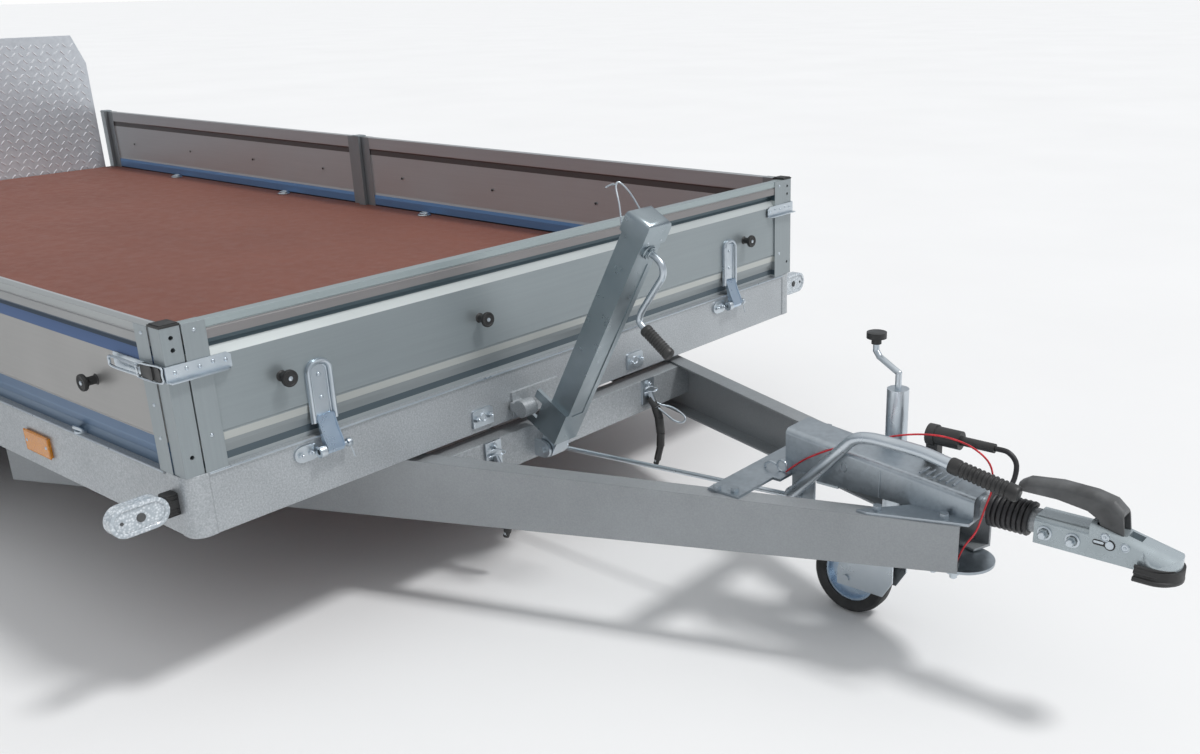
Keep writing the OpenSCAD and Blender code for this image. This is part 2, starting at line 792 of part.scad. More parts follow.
module draw_tube() color("#2d3033") at_bed() translate([housing_x2, 0, draw_z])
    rotate([0, 90, 0]) cylinder(d = draw_d, h = head_x0 - housing_x2);

// Coupling head: a clamp on the draw tube and a sloping dome, with a slot for the handle's foot, an eye
// in front of it, and the ball socket cut from below
module coupling_head() color("#9fb4c4") at_bed() {
    slot_w = handle_w / 2 + slot_gap;
    difference() {
        union() {
            translate([head_x0, 0, head_top]) round_top(clamp_len, head_w, head_top - head_low, head_r);
            intersection() {
                translate([dome_x, 0, dome_top]) rotate([0, dome_tilt, 0]) translate([-nose_r, 0, 0])
                    round_top(nose_r * 6, nose_r * 2, nose_r * 4, dome_r);
                translate([0, 0, head_low]) linear_extrude(nose_r * 3) {
                    translate([dome_x, -head_w / 2]) square([dome_back, head_w]);
                    translate([ball_x, 0]) circle(r = nose_r);
                }
            }
        }
        slab([ball_x - slot_back, -slot_w, head_top], [ball_x - slot_front, slot_w, 0]);
        slab([ball_x - slot_front, -eye_w / 2, eye_low], [ball_x - eye_front, eye_w / 2, 0]);
        translate([ball_x, 0, ball_z]) sphere(r = ball_r);
        translate([ball_x, 0, head_low - bumper_h])
            cylinder(r = ball_r + socket_lead, h = ball_z - head_low + bumper_h - socket_lead * 2);
    }
    both() for (x = head_bolt_xs) translate([x, head_w / 2, head_bolt_z]) rotate([-90, 0, 0]) nut(nut_d);
}

// A long round-edged bar under one stretch of the handle's back
module handle_skin(i) {
    p = in_handle(handle_top_shares[i]);
    q = in_handle(handle_top_shares[i + 1]);
    translate([p[0], 0, p[1]]) rotate([0, atan2(p[1] - q[1], q[0] - p[0]), 0])
        translate([-handle_len * 2, 0, 0]) round_top(handle_len * 4, handle_w, handle_len * 2, handle_r);
}

// Release handle: a bowed grip with rounded edges, one leg in the head's slot, open at its front
module coupling_handle() color("#55595c") at_bed() difference() {
    intersection() {
        side_solid([for (p = handle_low_shares) in_handle(p)], -handle_w, handle_w);
        handle_skin(0);
        handle_skin(1);
        handle_skin(2);
        handle_skin(3);
        handle_skin(4);
    }
    slab([ball_x - handle_front - handle_pocket, handle_wall - handle_w / 2, head_top],
        [ball_x, handle_w / 2 - handle_wall, head_top + handle_h * handle_pocket_share]);
}

// Rubber lip round the nose and below it
module coupling_bumper() color("#1c1d1f") at_bed() difference() {
    translate([0, 0, head_low - bumper_low]) linear_extrude(bumper_h) {
        translate([ball_x, 0]) circle(r = bumper_r);
        translate([ball_x - bumper_back, -bumper_r]) square([bumper_back, bumper_r * 2]);
    }
    translate([ball_x, 0, head_low]) cylinder(r = nose_r + pivot_gap, h = bumper_h);
    slab([head_x0, -head_w / 2 - pivot_gap, head_low], [ball_x, head_w / 2 + pivot_gap, head_low + bumper_h]);
    translate([ball_x, 0, head_low - bumper_low]) cylinder(r = ball_r * bumper_hole_share, h = bumper_low);
}

module handbrake_lever() color("#9aa3a9") at_bed() {
    bent_bar(lever_points, lever_d);
    pin(lever_points[0][0], lever_points[0][2], lever_boss_d, lever_y, -(housing_w + plate_th) / 2);
}

module handbrake_grip() color("#1b1c1e") at_bed() {
    bar(grip_points[0], grip_points[1], lever_grip_d);
}

// Jockey wheel's outer tube, clamp and crank
module jockey_tube() color("#b4c0c8") at_bed() {
    translate([jockey_x, jockey_y, 0]) {
        translate([0, 0, jockey_bottom]) cylinder(d = jockey_d, h = jockey_top - jockey_bottom);
        translate([0, 0, housing_base]) cylinder(d = jockey_d + clamp_t * 2, h = clamp_h);
    }
    slab([jockey_x - clamp_w, jockey_y, housing_base],
        [jockey_x + clamp_w, beam_out(jockey_x + clamp_w), housing_base + plate_th]);
    bent_bar(crank_points, crank_d);
}

module jockey_knob() color("#1b1c1e") at_bed() translate(crank_points[len(crank_points) - 1]) {
    cylinder(d = knob_d / 2, h = knob_h / 2);
    translate([0, 0, knob_h / 2]) cylinder(d = knob_d, h = knob_h / 2);
}

// Swivelling fork: stem, top plate and two side plates round the wheel
module jockey_fork() color("#aeb9c0") at_bed() {
    side = jockey_wheel_w / 2 + fork_gap;
    translate([jockey_x, jockey_y, fork_top])
        cylinder(d = jockey_inner_d, h = jockey_bottom - fork_top - stem_gap);
    slab([fork_back, jockey_y - side - fork_t, fork_top - fork_t],
        [fork_front, jockey_y + side + fork_t, fork_top]);
    translate([0, jockey_y, 0]) both() difference() {
        side_solid(fork_points, side, side + fork_t);
        pin(jockey_axle_x, jockey_axle_z, jockey_pin_d, side, side + fork_t);
    }
    pin(jockey_axle_x, jockey_axle_z, jockey_pin_d,
        jockey_y - side - fork_t * 2, jockey_y + side + fork_t * 2);
}

// Small wheel: a dished rim turned about its axle, and a solid tyre on it
module jockey_rim() color("#9fb4c4") at_bed() translate([jockey_axle_x, jockey_y, jockey_axle_z]) {
    bore = jockey_pin_d / 2 + pivot_gap;
    r = jockey_rim_d / 2;
    w = jockey_wheel_w / 2;
    half = [[bore, w], [bore * 2, w], [bore * 2, rim_t], [r - rim_t, rim_t], [r - rim_t, w * rim_web_share],
        [r, w * rim_web_share]];
    turned(concat(half, flipped(half)));
}

module jockey_tyre() color("#1a1b1c") at_bed() translate([jockey_axle_x, jockey_y, jockey_axle_z]) {
    r0 = jockey_rim_d / 2;
    r1 = jockey_wheel_d / 2;
    w = jockey_wheel_w / 2;
    one = [for (p = tread_shares) [p[0] * r1, p[1] * w]];
    turned(concat([[r0, w * bead_share]], one, flipped(one), [[r0, -w * bead_share]]));
}

// Lead wound round the draw tube
module lead_coil() color("#161718") at_bed() for (i = [0 : coil_turns - 1])
    translate([coil_x0 + lead_d * (i + coil_pitch_share), 0, draw_z]) rotate([0, 90, 0])
        rotate_extrude() translate([draw_d / 2 + lead_d / 2, 0]) circle(d = lead_d);

module lead_cord() color("#161718") at_bed() cord(lead_points, lead_d, 10, 3);

// Parked plug with its collar and holder
module lead_plug() color("#202225") at_bed() {
    translate([plug_x0, plug_y, plug_z]) rotate([0, 90, 0]) {
        cylinder(d = plug_d, h = plug_len / 2);
        cylinder(d = plug_d * plug_rim_share, h = plug_rim);
        cylinder(d = plug_d / 2, h = plug_len);
    }
    slab([plug_x0, housing_w / 2, holder_low], [plug_x0 + holder_w, plug_y + holder_w / 2, plug_z]);
}

module breakaway_cable() color("#c8202a") at_bed() cord(cable_points, cable_d, 8, 4);

// Cable clipped along the inside of the left beam
module beam_cable() color("#17181a") at_bed() translate([beam_x, beam_y, 0]) rotate([0, 0, 180 - beam_angle])
    translate([beam_cable_x0, beam_t + beam_cable_d / 2, beam_cable_z]) rotate([0, 90, 0])
        cylinder(d = beam_cable_d, h = beam_cable_len);

// Brake rod from the housing to the front axle, in two lengths joined by a sleeve
module brake_rod() color("#b9c0c4") at_bed() {
    for (i = [1 : len(rod_points) - 1]) bar(rod_points[i - 1], rod_points[i], rod_d);
    translate(rod_points[1] - [rod_sleeve / 2, 0, 0]) rotate([0, 90, 0])
        cylinder(d = rod_sleeve_d, h = rod_sleeve);
}

// On the front cross beam: ears for the jack's base pin, and two lock levers with their clips
module beam_fittings() color("#8d979e") at_bed() {
    translate([0, jack_y, 0]) both() difference() {
        union() {
            side = jack_rod_w / 2 + ear_gap;
            slab([front_beam_x, side, jack_z - jack_eye_d / 2],
                [jack_x, side + ear_t, jack_z + jack_eye_d / 2]);
            pin(jack_x, jack_z, jack_eye_d, side, side + ear_t);
        }
        pin(jack_x, jack_z, jack_pin_d, 0, jack_b);
    }
    pin(jack_x, jack_z, jack_pin_d, jack_y - jack_b / 2 - ear_t, jack_y + jack_b / 2 + ear_t);
    for (s = lock_shares) translate([0, half_w * s, 0]) {
        slab([front_beam_x, -lock_w / 2, front_beam_top - lock_h],
            [front_beam_x + plate_th, lock_w / 2, front_beam_top]);
        bent_bar(lock_points, lock_d);
    }
}

// Jack in its own frame: x to the front, z up the case, from the base pin
module at_jack() {
    translate([jack_x, jack_y, jack_z]) rotate([0, jack_lean, 0]) children();
}

module jack_rod() color("#a3adb4") at_bed() at_jack() difference() {
    union() {
        translate([-jack_rod_w / 2, -jack_rod_w / 2, 0]) cube([jack_rod_w, jack_rod_w, crank_z]);
        pin(0, 0, jack_rod_w, -jack_rod_w / 2, jack_rod_w / 2);
    }
    pin(0, 0, jack_pin_d + pivot_gap * 2, -jack_b, jack_b);
}

// Case: square tube round the rod, stepped cap, crank boss and the open yoke for the bed's trunnion pin
module jack_case() color("#7f8d97") at_bed() at_jack() {
    groove = jack_b * case_groove_share / 2;
    difference() {
        translate([-jack_w / 2, -jack_b / 2, jack_case0]) cube([jack_w, jack_b, jack_len - jack_case0]);
        translate([-jack_rod_w / 2 - rod_gap, -jack_rod_w / 2 - rod_gap, 0])
            cube([jack_rod_w + rod_gap * 2, jack_rod_w + rod_gap * 2, jack_len - cap_h]);
        slab([jack_w / 2 - case_groove, -groove, jack_case0 + case_groove_end],
            [jack_w / 2, groove, jack_len - case_groove_end]);
    }
    translate([-jack_w / 2 - cap_lip, -jack_b / 2 - cap_lip, jack_len - cap_h - cap_step])
        cube([jack_w + cap_lip * 2, jack_b + cap_lip * 2, cap_h]);
    translate([-jack_w / 2 + cap_lip, -jack_b / 2 + cap_lip, jack_len - cap_h])
        cube([jack_w - cap_lip * 2, jack_b - cap_lip * 2, cap_h]);
    translate([jack_w / 2, 0, crank_z]) rotate([0, 90, 0]) cylinder(d = crank_boss_d, h = crank_boss_h);
    difference() {
        slab([-jack_off - yoke_reach, -jack_b / 2 - yoke_t, jack_up - yoke_h / 2],
            [jack_w / 2, -jack_b / 2, jack_up + yoke_h / 2]);
        slab([-jack_off - yoke_reach, -jack_b / 2 - yoke_t, jack_up - yoke_slot / 2],
            [-jack_off + yoke_slot / 2, -jack_b / 2, jack_up + yoke_slot / 2]);
    }
}

module jack_crank() color("#9aa5ad") at_bed() at_jack() bent_bar(jack_crank_points, jack_crank_d);

module jack_grip() color("#191a1c") at_bed() at_jack() {
    bar(jack_grip_points[0], jack_grip_points[1], jack_grip_d);
}

// Road wheel in its own frame, +y outward
module rim() {
    bore = stub_d / 2 + pivot_gap;
    flange = [[rim_r - rim_t, rim_half], [rim_r + rim_lip, rim_half],
        [rim_r + rim_lip, rim_half - rim_t], [rim_r, rim_half - rim_t * 2]];
    difference() {
        union() {
            turned(concat(flange, flipped(flange)));
            turned([[hub_r, disc_out], [rim_r - rim_t, disc_out - rim_t * 2],
                [rim_r - rim_t, disc_out - rim_t], [hub_r, disc_out + rim_t]]);
            turned([[bore, -drum_back], [drum_r, -drum_back], [drum_r, disc_out - rim_t * 3],
                [hub_r, disc_out], [hub_r, disc_out + hub_r], [0, disc_out + hub_r], [0, rim_t],
                [bore, rim_t]]);
        }
        for (i = [0 : vents - 1]) rotate([0, 360 * i / vents, 0])
            pin(vent_pcd / 2, 0, vent_d, disc_out - hub_r, disc_out + hub_r);
    }
    for (i = [0 : bolts - 1]) rotate([0, 360 * i / bolts, 0])
        pin(bolt_pcd / 2, 0, bolt_d, disc_out - rim_t, disc_out + bolt_d);
}

module tyre() {
    h = tyre_w / 2;
    seat = rim_half - rim_t * 2;
    bead = [[rim_r + pivot_gap, seat - bead_w], [rim_r + pivot_gap, seat - pivot_gap],
        [rim_r + rim_lip + pivot_gap, rim_half - rim_t - pivot_gap],
        [rim_r + rim_lip + pivot_gap, rim_half + pivot_gap]];
    one = concat(bead, [for (p = tyre_shares) [p[0] * tyre_r, p[1] * h]]);
    inside = [for (p = tyre_inner_shares) [p[0] * tyre_r, p[1] * h]];
    turned(concat(one, flipped(one), flipped(inside), inside));
}

module at_wheel(x, side) {
    translate([x, side * tyre_y, wheel_z]) mirror([0, side < 0 ? 1 : 0, 0]) children();
}

module rim_fl() color("#c3c8cb") at_bed() at_wheel(axle_xs[front], 1) rim();
module rim_fr() color("#c3c8cb") at_bed() at_wheel(axle_xs[front], -1) rim();
module rim_rl() color("#c3c8cb") at_bed() at_wheel(axle_xs[rear], 1) rim();
module rim_rr() color("#c3c8cb") at_bed() at_wheel(axle_xs[rear], -1) rim();
module tyre_fl() color("#1b1c1d") at_bed() at_wheel(axle_xs[front], 1) tyre();
module tyre_fr() color("#1b1c1d") at_bed() at_wheel(axle_xs[front], -1) tyre();
module tyre_rl() color("#1b1c1d") at_bed() at_wheel(axle_xs[rear], 1) tyre();
module tyre_rr() color("#1b1c1d") at_bed() at_wheel(axle_xs[rear], -1) tyre();

// Bed frame: channels open to the middle
module side_rail() {
    x0 = rail_flange - bed_len;
    x1 = -rail_flange - rail_r;
    slab([x0, half_w - rail_t, rail_bottom], [x1, half_w, 0]);
    slab([x0, half_w - rail_flange, -rail_t], [x1, half_w - rail_t, 0]);
    slab([x0, half_w - rail_flange, rail_bottom], [x1, half_w - rail_t, rail_bottom + rail_t]);
    slab([x0, half_w, -rail_lip_h], [x1, half_w + rail_lip, 0]);
}

module side_rail_left() color("#b3b9bd") at_bed() side_rail();

module side_rail_right() color("#b3b9bd") at_bed() mirror([0, 1, 0]) side_rail();

// Plan of the front rail with its rounded corners, set in by an even distance
module front_plan(inset) {
    r = max(rail_r - inset, rail_t);
    x0 = -rail_flange - rail_r;
    w = half_w - inset;
    translate([x0, -w]) square([-x0 - inset - r, w * 2]);
    translate([-inset - r, r - w]) square([r, (w - r) * 2]);
    for (s = [-1, 1]) translate([-inset - r, s * (w - r)]) circle(r = r);
}

module front_rail() color("#b3b9bd") at_bed() {
    translate([0, 0, rail_bottom]) linear_extrude(rail_h) difference() {
        front_plan(0);
        front_plan(rail_t);
    }
    for (z = [rail_bottom, -rail_t]) translate([0, 0, z]) linear_extrude(rail_t) difference() {
        front_plan(rail_t);
        front_plan(rail_flange);
    }
    slab([0, wrap_w - half_w, -rail_lip_h], [rail_lip, half_w - wrap_w, 0]);
    both() intersection() {
        translate([0, 0, rail_bottom]) linear_extrude(rail_h) difference() {
            front_plan(-wrap_t);
            front_plan(0);
        }
        slab([-wrap_w, half_w - wrap_w, rail_bottom], [wrap_w, half_w + wrap_w, 0]);
    }
    translate([0, 0, trunnion_z]) {
        slab([0, jack_y - plate_w / 2, -plate_h / 2], [plate_th, jack_y + plate_w / 2, plate_h / 2]);
        slab([plate_th, boss_y0, -boss_d / 4], [trunnion_x, boss_y0 + boss_len, boss_d / 4]);
        pin(trunnion_x, 0, boss_d, boss_y0, boss_y0 + boss_len);
        pin(trunnion_x, 0, trunnion_d, boss_y0 + boss_len, jack_y - jack_b / 2 - rod_gap);
    }
}

module rear_rail() color("#b3b9bd") at_bed() {
    slab([-bed_len, -half_w, rail_bottom], [rail_t - bed_len, half_w, 0]);
    slab([rail_t - bed_len, -half_w, -rail_t], [rail_flange - bed_len, half_w, 0]);
    slab([rail_t - bed_len, -half_w, rail_bottom], [rail_flange - bed_len, half_w, rail_bottom + rail_t]);
    for (i = [0 : knuckles - 1]) translate([0, knuckle_y(i), 0]) both() {
        difference() {
            union() {
                pin(hinge_x, hinge_z, knuckle_d, knuckle_half, knuckle_half * 2);
                slab([hinge_x, knuckle_half, hinge_z - knuckle_d / 2], [-bed_len, knuckle_half * 2, hinge_z]);
            }
            pin(hinge_x, hinge_z, hinge_pin_d, knuckle_half, knuckle_half * 2);
        }
        pin(hinge_x, hinge_z, hinge_pin_d, 0, knuckle_half * 2);
    }
}

// Cross members between the side rails, and the pivot member with its two lugs
module cross_members() color("#a7adb1") at_bed() {
    span = half_w - rail_flange;
    for (i = [1 : cross_bays - 1]) translate([-bed_len * i / cross_bays, 0, 0])
        slab([-cross_w / 2, -span, -cross_h], [cross_w / 2, span, 0]);
    slab([pivot_x - cross_w, -span, rail_bottom], [pivot_x + cross_w, span, -cross_h]);
    both() difference() {
        union() {
            slab([pivot_x - cross_w * lug_share, lug_y, pivot_z],
                [pivot_x + cross_w * lug_share, lug_y + lug_t, rail_bottom]);
            pin(pivot_x, pivot_z, cross_w * lug_share * 2, lug_y, lug_y + lug_t);
        }
        pin(pivot_x, pivot_z, pivot_d + pivot_gap * 2, lug_y, lug_y + lug_t);
    }
}

// Plywood deck, notched round the posts and the lashing tabs
module deck() color("#7a3a2e") at_bed() difference() {
    slab([rear_gap - bed_len, -wall_in, 0], [-wall_t, wall_in, deck_t]);
    both() {
        for (x = post_xs)
            slab([x - post_w - wall_gap, half_w - post_w - wall_gap, 0], [x + wall_gap, half_w, deck_t]);
        for (s = tab_shares) at_tab(s) cylinder(d = ring_d + tab_gap * 2, h = deck_t);
    }
}

module at_tab(s) {
    translate([-bed_len * s, wall_in - ring_d / 2 - tab_gap * 3, 0]) children();
}

// Corner posts with holes, and centre posts
module posts() color("#8b959c") at_bed() for (x = post_xs) both() difference() {
    slab([x - post_w, half_w - post_w, 0], [x, half_w, wall_h]);
    if (x == 0) for (s = corner_hole_shares)
        translate([-post_w, half_w - post_w / 2, wall_h * s]) rotate([0, 90, 0])
            cylinder(d = post_hole_d, h = post_w);
}

// Wall panel along x: the extruded profile with a flat cap at both ends, outer face at y = half_w
module wall_along(x0, x1) {
    points = [for (p = wall_profile_shares) [p[0] * wall_t, p[1] * wall_h]];
    translate([x0, wall_in, 0]) rotate([90, 0, 90]) linear_extrude(x1 - x0) polygon(points);
    for (x = [x0, x1 - wall_cap]) slab([x, wall_in, 0], [x + wall_cap, half_w + wall_cap_proud, wall_h]);
}

module side_walls() for (h = side_halves) wall_along(h[1] + wall_gap, h[0] - wall_gap);

module side_walls_left() color("#c0c6c9") at_bed() side_walls();

module side_walls_right() color("#c0c6c9") at_bed() mirror([0, 1, 0]) side_walls();

module front_wall() color("#c0c6c9") at_bed() translate([-half_w, 0, 0]) rotate([0, 0, -90])
    wall_along(post_w + wall_gap - half_w, half_w - post_w - wall_gap);

// Outline of a hinge strap with a round top, as a plate of some width and thickness
module strap_plate(w, t) {
    translate([0, -w / 2, strap_foot]) cube([t, w, strap_h - strap_w / 2 - strap_foot]);
    translate([0, 0, strap_h - strap_w / 2]) rotate([0, 90, 0]) cylinder(d = w, h = t);
}

// Pressed hinge strap with a raised rim, its tongue and barrel, and the pin in an eye on the front rail
module hinge_strap() {
    w = strap_w / 2;
    eye = -w - strap_gap;
    translate([wall_face - half_w, 0, 0]) {
        difference() {
            strap_plate(strap_w, strap_t);
            translate([strap_skin, 0, 0]) strap_plate(strap_w - strap_rim * 2, strap_t);
        }
        side_solid([[0, strap_foot], [0, strap_foot * 2], [strap_t, strap_foot * 2],
            [strap_pin_x + strap_barrel_d / 2, strap_pin_z], [strap_pin_x, strap_pin_z]],
            -w * tongue_share, w * tongue_share);
    }
    pin(strap_pin_x, strap_pin_z, strap_barrel_d, -w, w);
    pin(strap_pin_x, strap_pin_z, strap_pin_d, eye - strap_eye_t - strap_gap, w + strap_head);
    pin(strap_pin_x, strap_pin_z, strap_head, w + strap_gap, w + strap_head);
    pin(strap_pin_x, strap_pin_z, strap_eye_d, eye - strap_eye_t, eye);
    slab([0, eye - strap_eye_t, strap_pin_z - strap_pin_d], [strap_pin_x, eye, strap_pin_z + strap_pin_d]);
    slab([0, eye - strap_base, strap_pin_z - strap_base_h / 2],
        [plate_th, eye, strap_pin_z + strap_base_h / 2]);
}

// Corner strap with a folded lip, and the toggle latch beside it
module corner_latch() {
    low = latch_z - latch_h / 2;
    top = latch_z + latch_h / 2;
    out = half_w + wall_cap_proud;
    slab([wall_cap_proud, half_w - latch_len, low], [wall_cap_proud + latch_t, out, top]);
    slab([wall_cap_proud, half_w - latch_len, low], [wall_cap_proud + latch_lip, out, low + latch_t]);
    slab([-latch_back, out, low], [wall_cap_proud + latch_t, out + latch_t, top]);
    slab([-post_w - latch_lever, out, low + latch_rim], [-post_w, out + latch_out, top - latch_rim]);
    front = -post_w - latch_rim;
    back = latch_rim - latch_back;
    side = out + latch_out;
    bent_bar([[front, side, top - latch_rim], [back, side, top - latch_rim], [back, side, low + latch_rim],
        [front, side, low + latch_rim]], latch_bar);
}

// Steel fittings on the walls: hinge straps, corner latches, keepers, lashing rings and tabs
module wall_fittings() color("#a9b7c0") at_bed() {
    ledge = half_w - wall_t * wall_foot_share;
    for (s = strap_shares) translate([0, half_w * s, 0]) hinge_strap();
    for (s = keeper_shares) translate([0, half_w * s, trunnion_z]) rotate([0, 90, 0]) {
        difference() {
            translate([-keeper_h / 2, -keeper_w / 2, 0]) cube([keeper_h, keeper_w, plate_th]);
            cylinder(d = keeper_hole, h = plate_th);
        }
        for (y = [-keeper_bolt_y, keeper_bolt_y]) translate([0, y, plate_th]) nut(keeper_bolt);
    }
    both() {
        corner_latch();
        for (s = tab_shares) at_tab(s) cylinder(d = ring_d, h = deck_t + ring_t);
        for (s = ring_shares) difference() {
            translate([-bed_len * s, ledge, 0]) cylinder(d = ring_d * ring_share, h = ring_t);
            slab([-bed_len, 0, 0], [0, ledge + tab_gap, deck_t]);
        }
    }
}

// A cover knob on z = 0
module cover_knob() {
    cylinder(d = cover_d / 2, h = cover_h);
    translate([0, 0, cover_h - cover_t]) cylinder(d = cover_d, h = cover_t);
}

// Cover knobs on the walls, caps on the posts and the lamps' rubber arms
module rubber_fittings() color("#161719") at_bed() {
    for (s = knob_shares)
        translate([wall_face - half_w, half_w * s, knob_z]) rotate([0, 90, 0]) cover_knob();
    both() {
        for (s = side_knob_shares)
            translate([-bed_len * s, wall_face, knob_z]) rotate([-90, 0, 0]) cover_knob();
        for (x = post_xs)
            slab([x - post_w - post_cap_lip, half_w - post_w - post_cap_lip, wall_h],
                [x + post_cap_lip, half_w + post_cap_lip, wall_h + post_cap_h]);
        slab([lamp_x - lamp_t, half_w + wrap_t, lamp_z - arm_h / 2],
            [lamp_x, lamp_y - lamp_w / 2, lamp_z + arm_h / 2]);
    }
}

module front_lamps() color("#dfe5e8") at_bed() both() translate([lamp_x - lamp_t, 0, lamp_z]) {
    w = lamp_w - lamp_h;
    translate([0, lamp_y - w / 2, -lamp_h / 2]) cube([lamp_t, w, lamp_h]);
    for (s = [-1, 1])
        translate([0, lamp_y + s * w / 2, 0]) rotate([0, 90, 0]) cylinder(d = lamp_h, h = lamp_t);
}

module side_reflectors() color("#e38a1c") at_bed() both() for (x = [reflector_x, tail_x + reflector_w * 3])
    slab([x - reflector_w / 2, half_w, reflector_z - reflector_h / 2],
        [x + reflector_w / 2, half_w + reflector_t, reflector_z + reflector_h / 2]);

module tail_lamps() color("#a3161b") at_bed() both()
    slab([tail_x - tail_t, half_w, tail_z - tail_h / 2], [tail_x, half_w + tail_w, tail_z + tail_h / 2]);

// Ramp: tread plate with sloped top corners
module ramp_plate() color("#b9c1c6") at_bed() {
    w = ramp_w / 2;
    points = [[-w, ramp_low], [w, ramp_low], [w, ramp_top - ramp_cut_z], [w - ramp_cut_y, ramp_top],
        [ramp_cut_y - w, ramp_top], [-w, ramp_top - ramp_cut_z]];
    translate([ramp_x - ramp_t, 0, 0]) rotate([90, 0, 90]) linear_extrude(ramp_t) polygon(points);
}

// Ribs behind the plate, and the moving hinge knuckles
module ramp_frame() color("#9da6ac") at_bed() {
    w = ramp_w / 2 - ramp_cut_y;
    back = ramp_x - ramp_t - ramp_rib;
    for (i = [0 : ramp_ribs - 1]) let (y = (2 * i / (ramp_ribs - 1) - 1) * (w - rib_w))
        slab([back, y - rib_w / 2, ramp_pad], [ramp_x - ramp_t, y + rib_w / 2, ramp_top - rib_w]);
    for (i = [0 : knuckles - 1]) translate([0, knuckle_y(i), 0]) difference() {
        union() {
            pin(hinge_x, hinge_z, knuckle_d, pivot_gap - knuckle_half, knuckle_half - pivot_gap);
            slab([hinge_x - knuckle_d / 2, pivot_gap - knuckle_half, hinge_z],
                [ramp_x - ramp_t, knuckle_half - pivot_gap, ramp_pad]);
        }
        pin(hinge_x, hinge_z, hinge_pin_d + pivot_gap * 2, -knuckle_half, knuckle_half);
    }
}

drawbar_left();
drawbar_right();
front_beam();
mid_beam();
chassis_rail_left();
chassis_rail_right();
pivot_shaft();
axle_front();
axle_rear();
mudguard_left();
mudguard_right();
overrun_housing();
draw_tube();
coupling_head();
coupling_handle();
coupling_bumper();
handbrake_lever();
handbrake_grip();
jockey_tube();
jockey_knob();
jockey_fork();
jockey_rim();
jockey_tyre();
lead_coil();
lead_cord();
lead_plug();
breakaway_cable();
beam_cable();
brake_rod();
beam_fittings();
jack_rod();
jack_case();
jack_crank();
jack_grip();
rim_fl();
rim_fr();
rim_rl();
rim_rr();
tyre_fl();
tyre_fr();
tyre_rl();
tyre_rr();
side_rail_left();
side_rail_right();
front_rail();
rear_rail();
cross_members();
deck();
posts();
front_wall();
side_walls_left();
side_walls_right();
wall_fittings();
rubber_fittings();
front_lamps();
side_reflectors();
tail_lamps();
ramp_plate();
ramp_frame();
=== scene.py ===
"""Looks of the tilt-bed utility trailer: camera, cords, trim and materials.

Places and sizes are bed millimetres: x forward, y to the left and z up from the middle of the bed frame's
front top edge. The frame is in metres.
"""
import math

import bpy
from mathutils import Matrix, Vector


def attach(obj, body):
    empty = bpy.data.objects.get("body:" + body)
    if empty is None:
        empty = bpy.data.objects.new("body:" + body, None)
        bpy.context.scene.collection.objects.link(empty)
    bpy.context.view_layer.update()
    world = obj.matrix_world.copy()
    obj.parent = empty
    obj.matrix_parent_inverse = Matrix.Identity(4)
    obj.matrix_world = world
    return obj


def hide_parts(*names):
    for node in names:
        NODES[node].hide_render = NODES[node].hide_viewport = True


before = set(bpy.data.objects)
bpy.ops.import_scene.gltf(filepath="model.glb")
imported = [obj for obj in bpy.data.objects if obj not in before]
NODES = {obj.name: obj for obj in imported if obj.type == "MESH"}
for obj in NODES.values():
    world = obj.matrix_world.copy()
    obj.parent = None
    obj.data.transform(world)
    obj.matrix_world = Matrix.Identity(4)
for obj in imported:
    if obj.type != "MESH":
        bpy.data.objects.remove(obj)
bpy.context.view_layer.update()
scene = bpy.context.scene

# The bed's place in the frame, and its main sizes
BED_X, BED_Z = 1392.5, 515.0
HALF_W, BED_LEN = 1040, 4320
MID_X = -BED_LEN / 2
WALL_H, WALL_T, POST_W = 300, 25, 40

SIDES = (1, -1)
FRONT, LEFT, UP, DOWN = (1, 0, 0), (0, 1, 0), (0, 0, 1), (0, 0, -1)
FULL_TURN = 2 * math.pi


def mm(value):
    """Millimetres in metres."""
    return value / 1000


def at(x, y, z):
    """A point in bed millimetres as a point in the frame."""
    return Vector((mm(x + BED_X), mm(y), mm(z + BED_Z)))


def angles(steps, start=0.0, sweep=FULL_TURN):
    """Evenly spaced angles of a sweep, with both of its ends."""
    return [start + sweep * k / steps for k in range(steps + 1)]


def show(obj):
    scene.collection.objects.link(obj)


# Camera, fitted to straight edges in the photo
PHOTO_W, PHOTO_H = 1200, 754
FOCAL_PX = 1178.36
CENTRE_PX = (699.67, 419.93)
CAMERA_AT = (2076.98, -2066.08, 881.77)
CAMERA_TURN = (128.372, 20.386, 1.062)
SENSOR_W = 36
CLIP_START, CLIP_END = 0.05, 500


def make_camera():
    """A camera with the photo's place, turn, focal length and shifted centre."""
    yaw, pitch, roll = (math.radians(a) for a in CAMERA_TURN)
    fwd = Vector((math.cos(yaw) * math.cos(pitch), math.sin(yaw) * math.cos(pitch), -math.sin(pitch)))
    right = Vector((math.sin(yaw), -math.cos(yaw), 0))
    down = fwd.cross(right)
    side = right * math.cos(roll) + down * math.sin(roll)
    low = down * math.cos(roll) - right * math.sin(roll)
    data = bpy.data.cameras.new("camera")
    data.sensor_width = SENSOR_W
    data.lens = SENSOR_W * FOCAL_PX / PHOTO_W
    data.shift_x = (PHOTO_W / 2 - CENTRE_PX[0]) / PHOTO_W
    data.shift_y = (CENTRE_PX[1] - PHOTO_H / 2) / PHOTO_W
    data.clip_start, data.clip_end = CLIP_START, CLIP_END
    camera = bpy.data.objects.new("camera", data)
    turn = Matrix((side, -low, -fwd)).transposed().to_4x4()
    camera.matrix_world = Matrix.Translation(at(*CAMERA_AT)) @ turn
    show(camera)
    scene.camera = camera


make_camera()

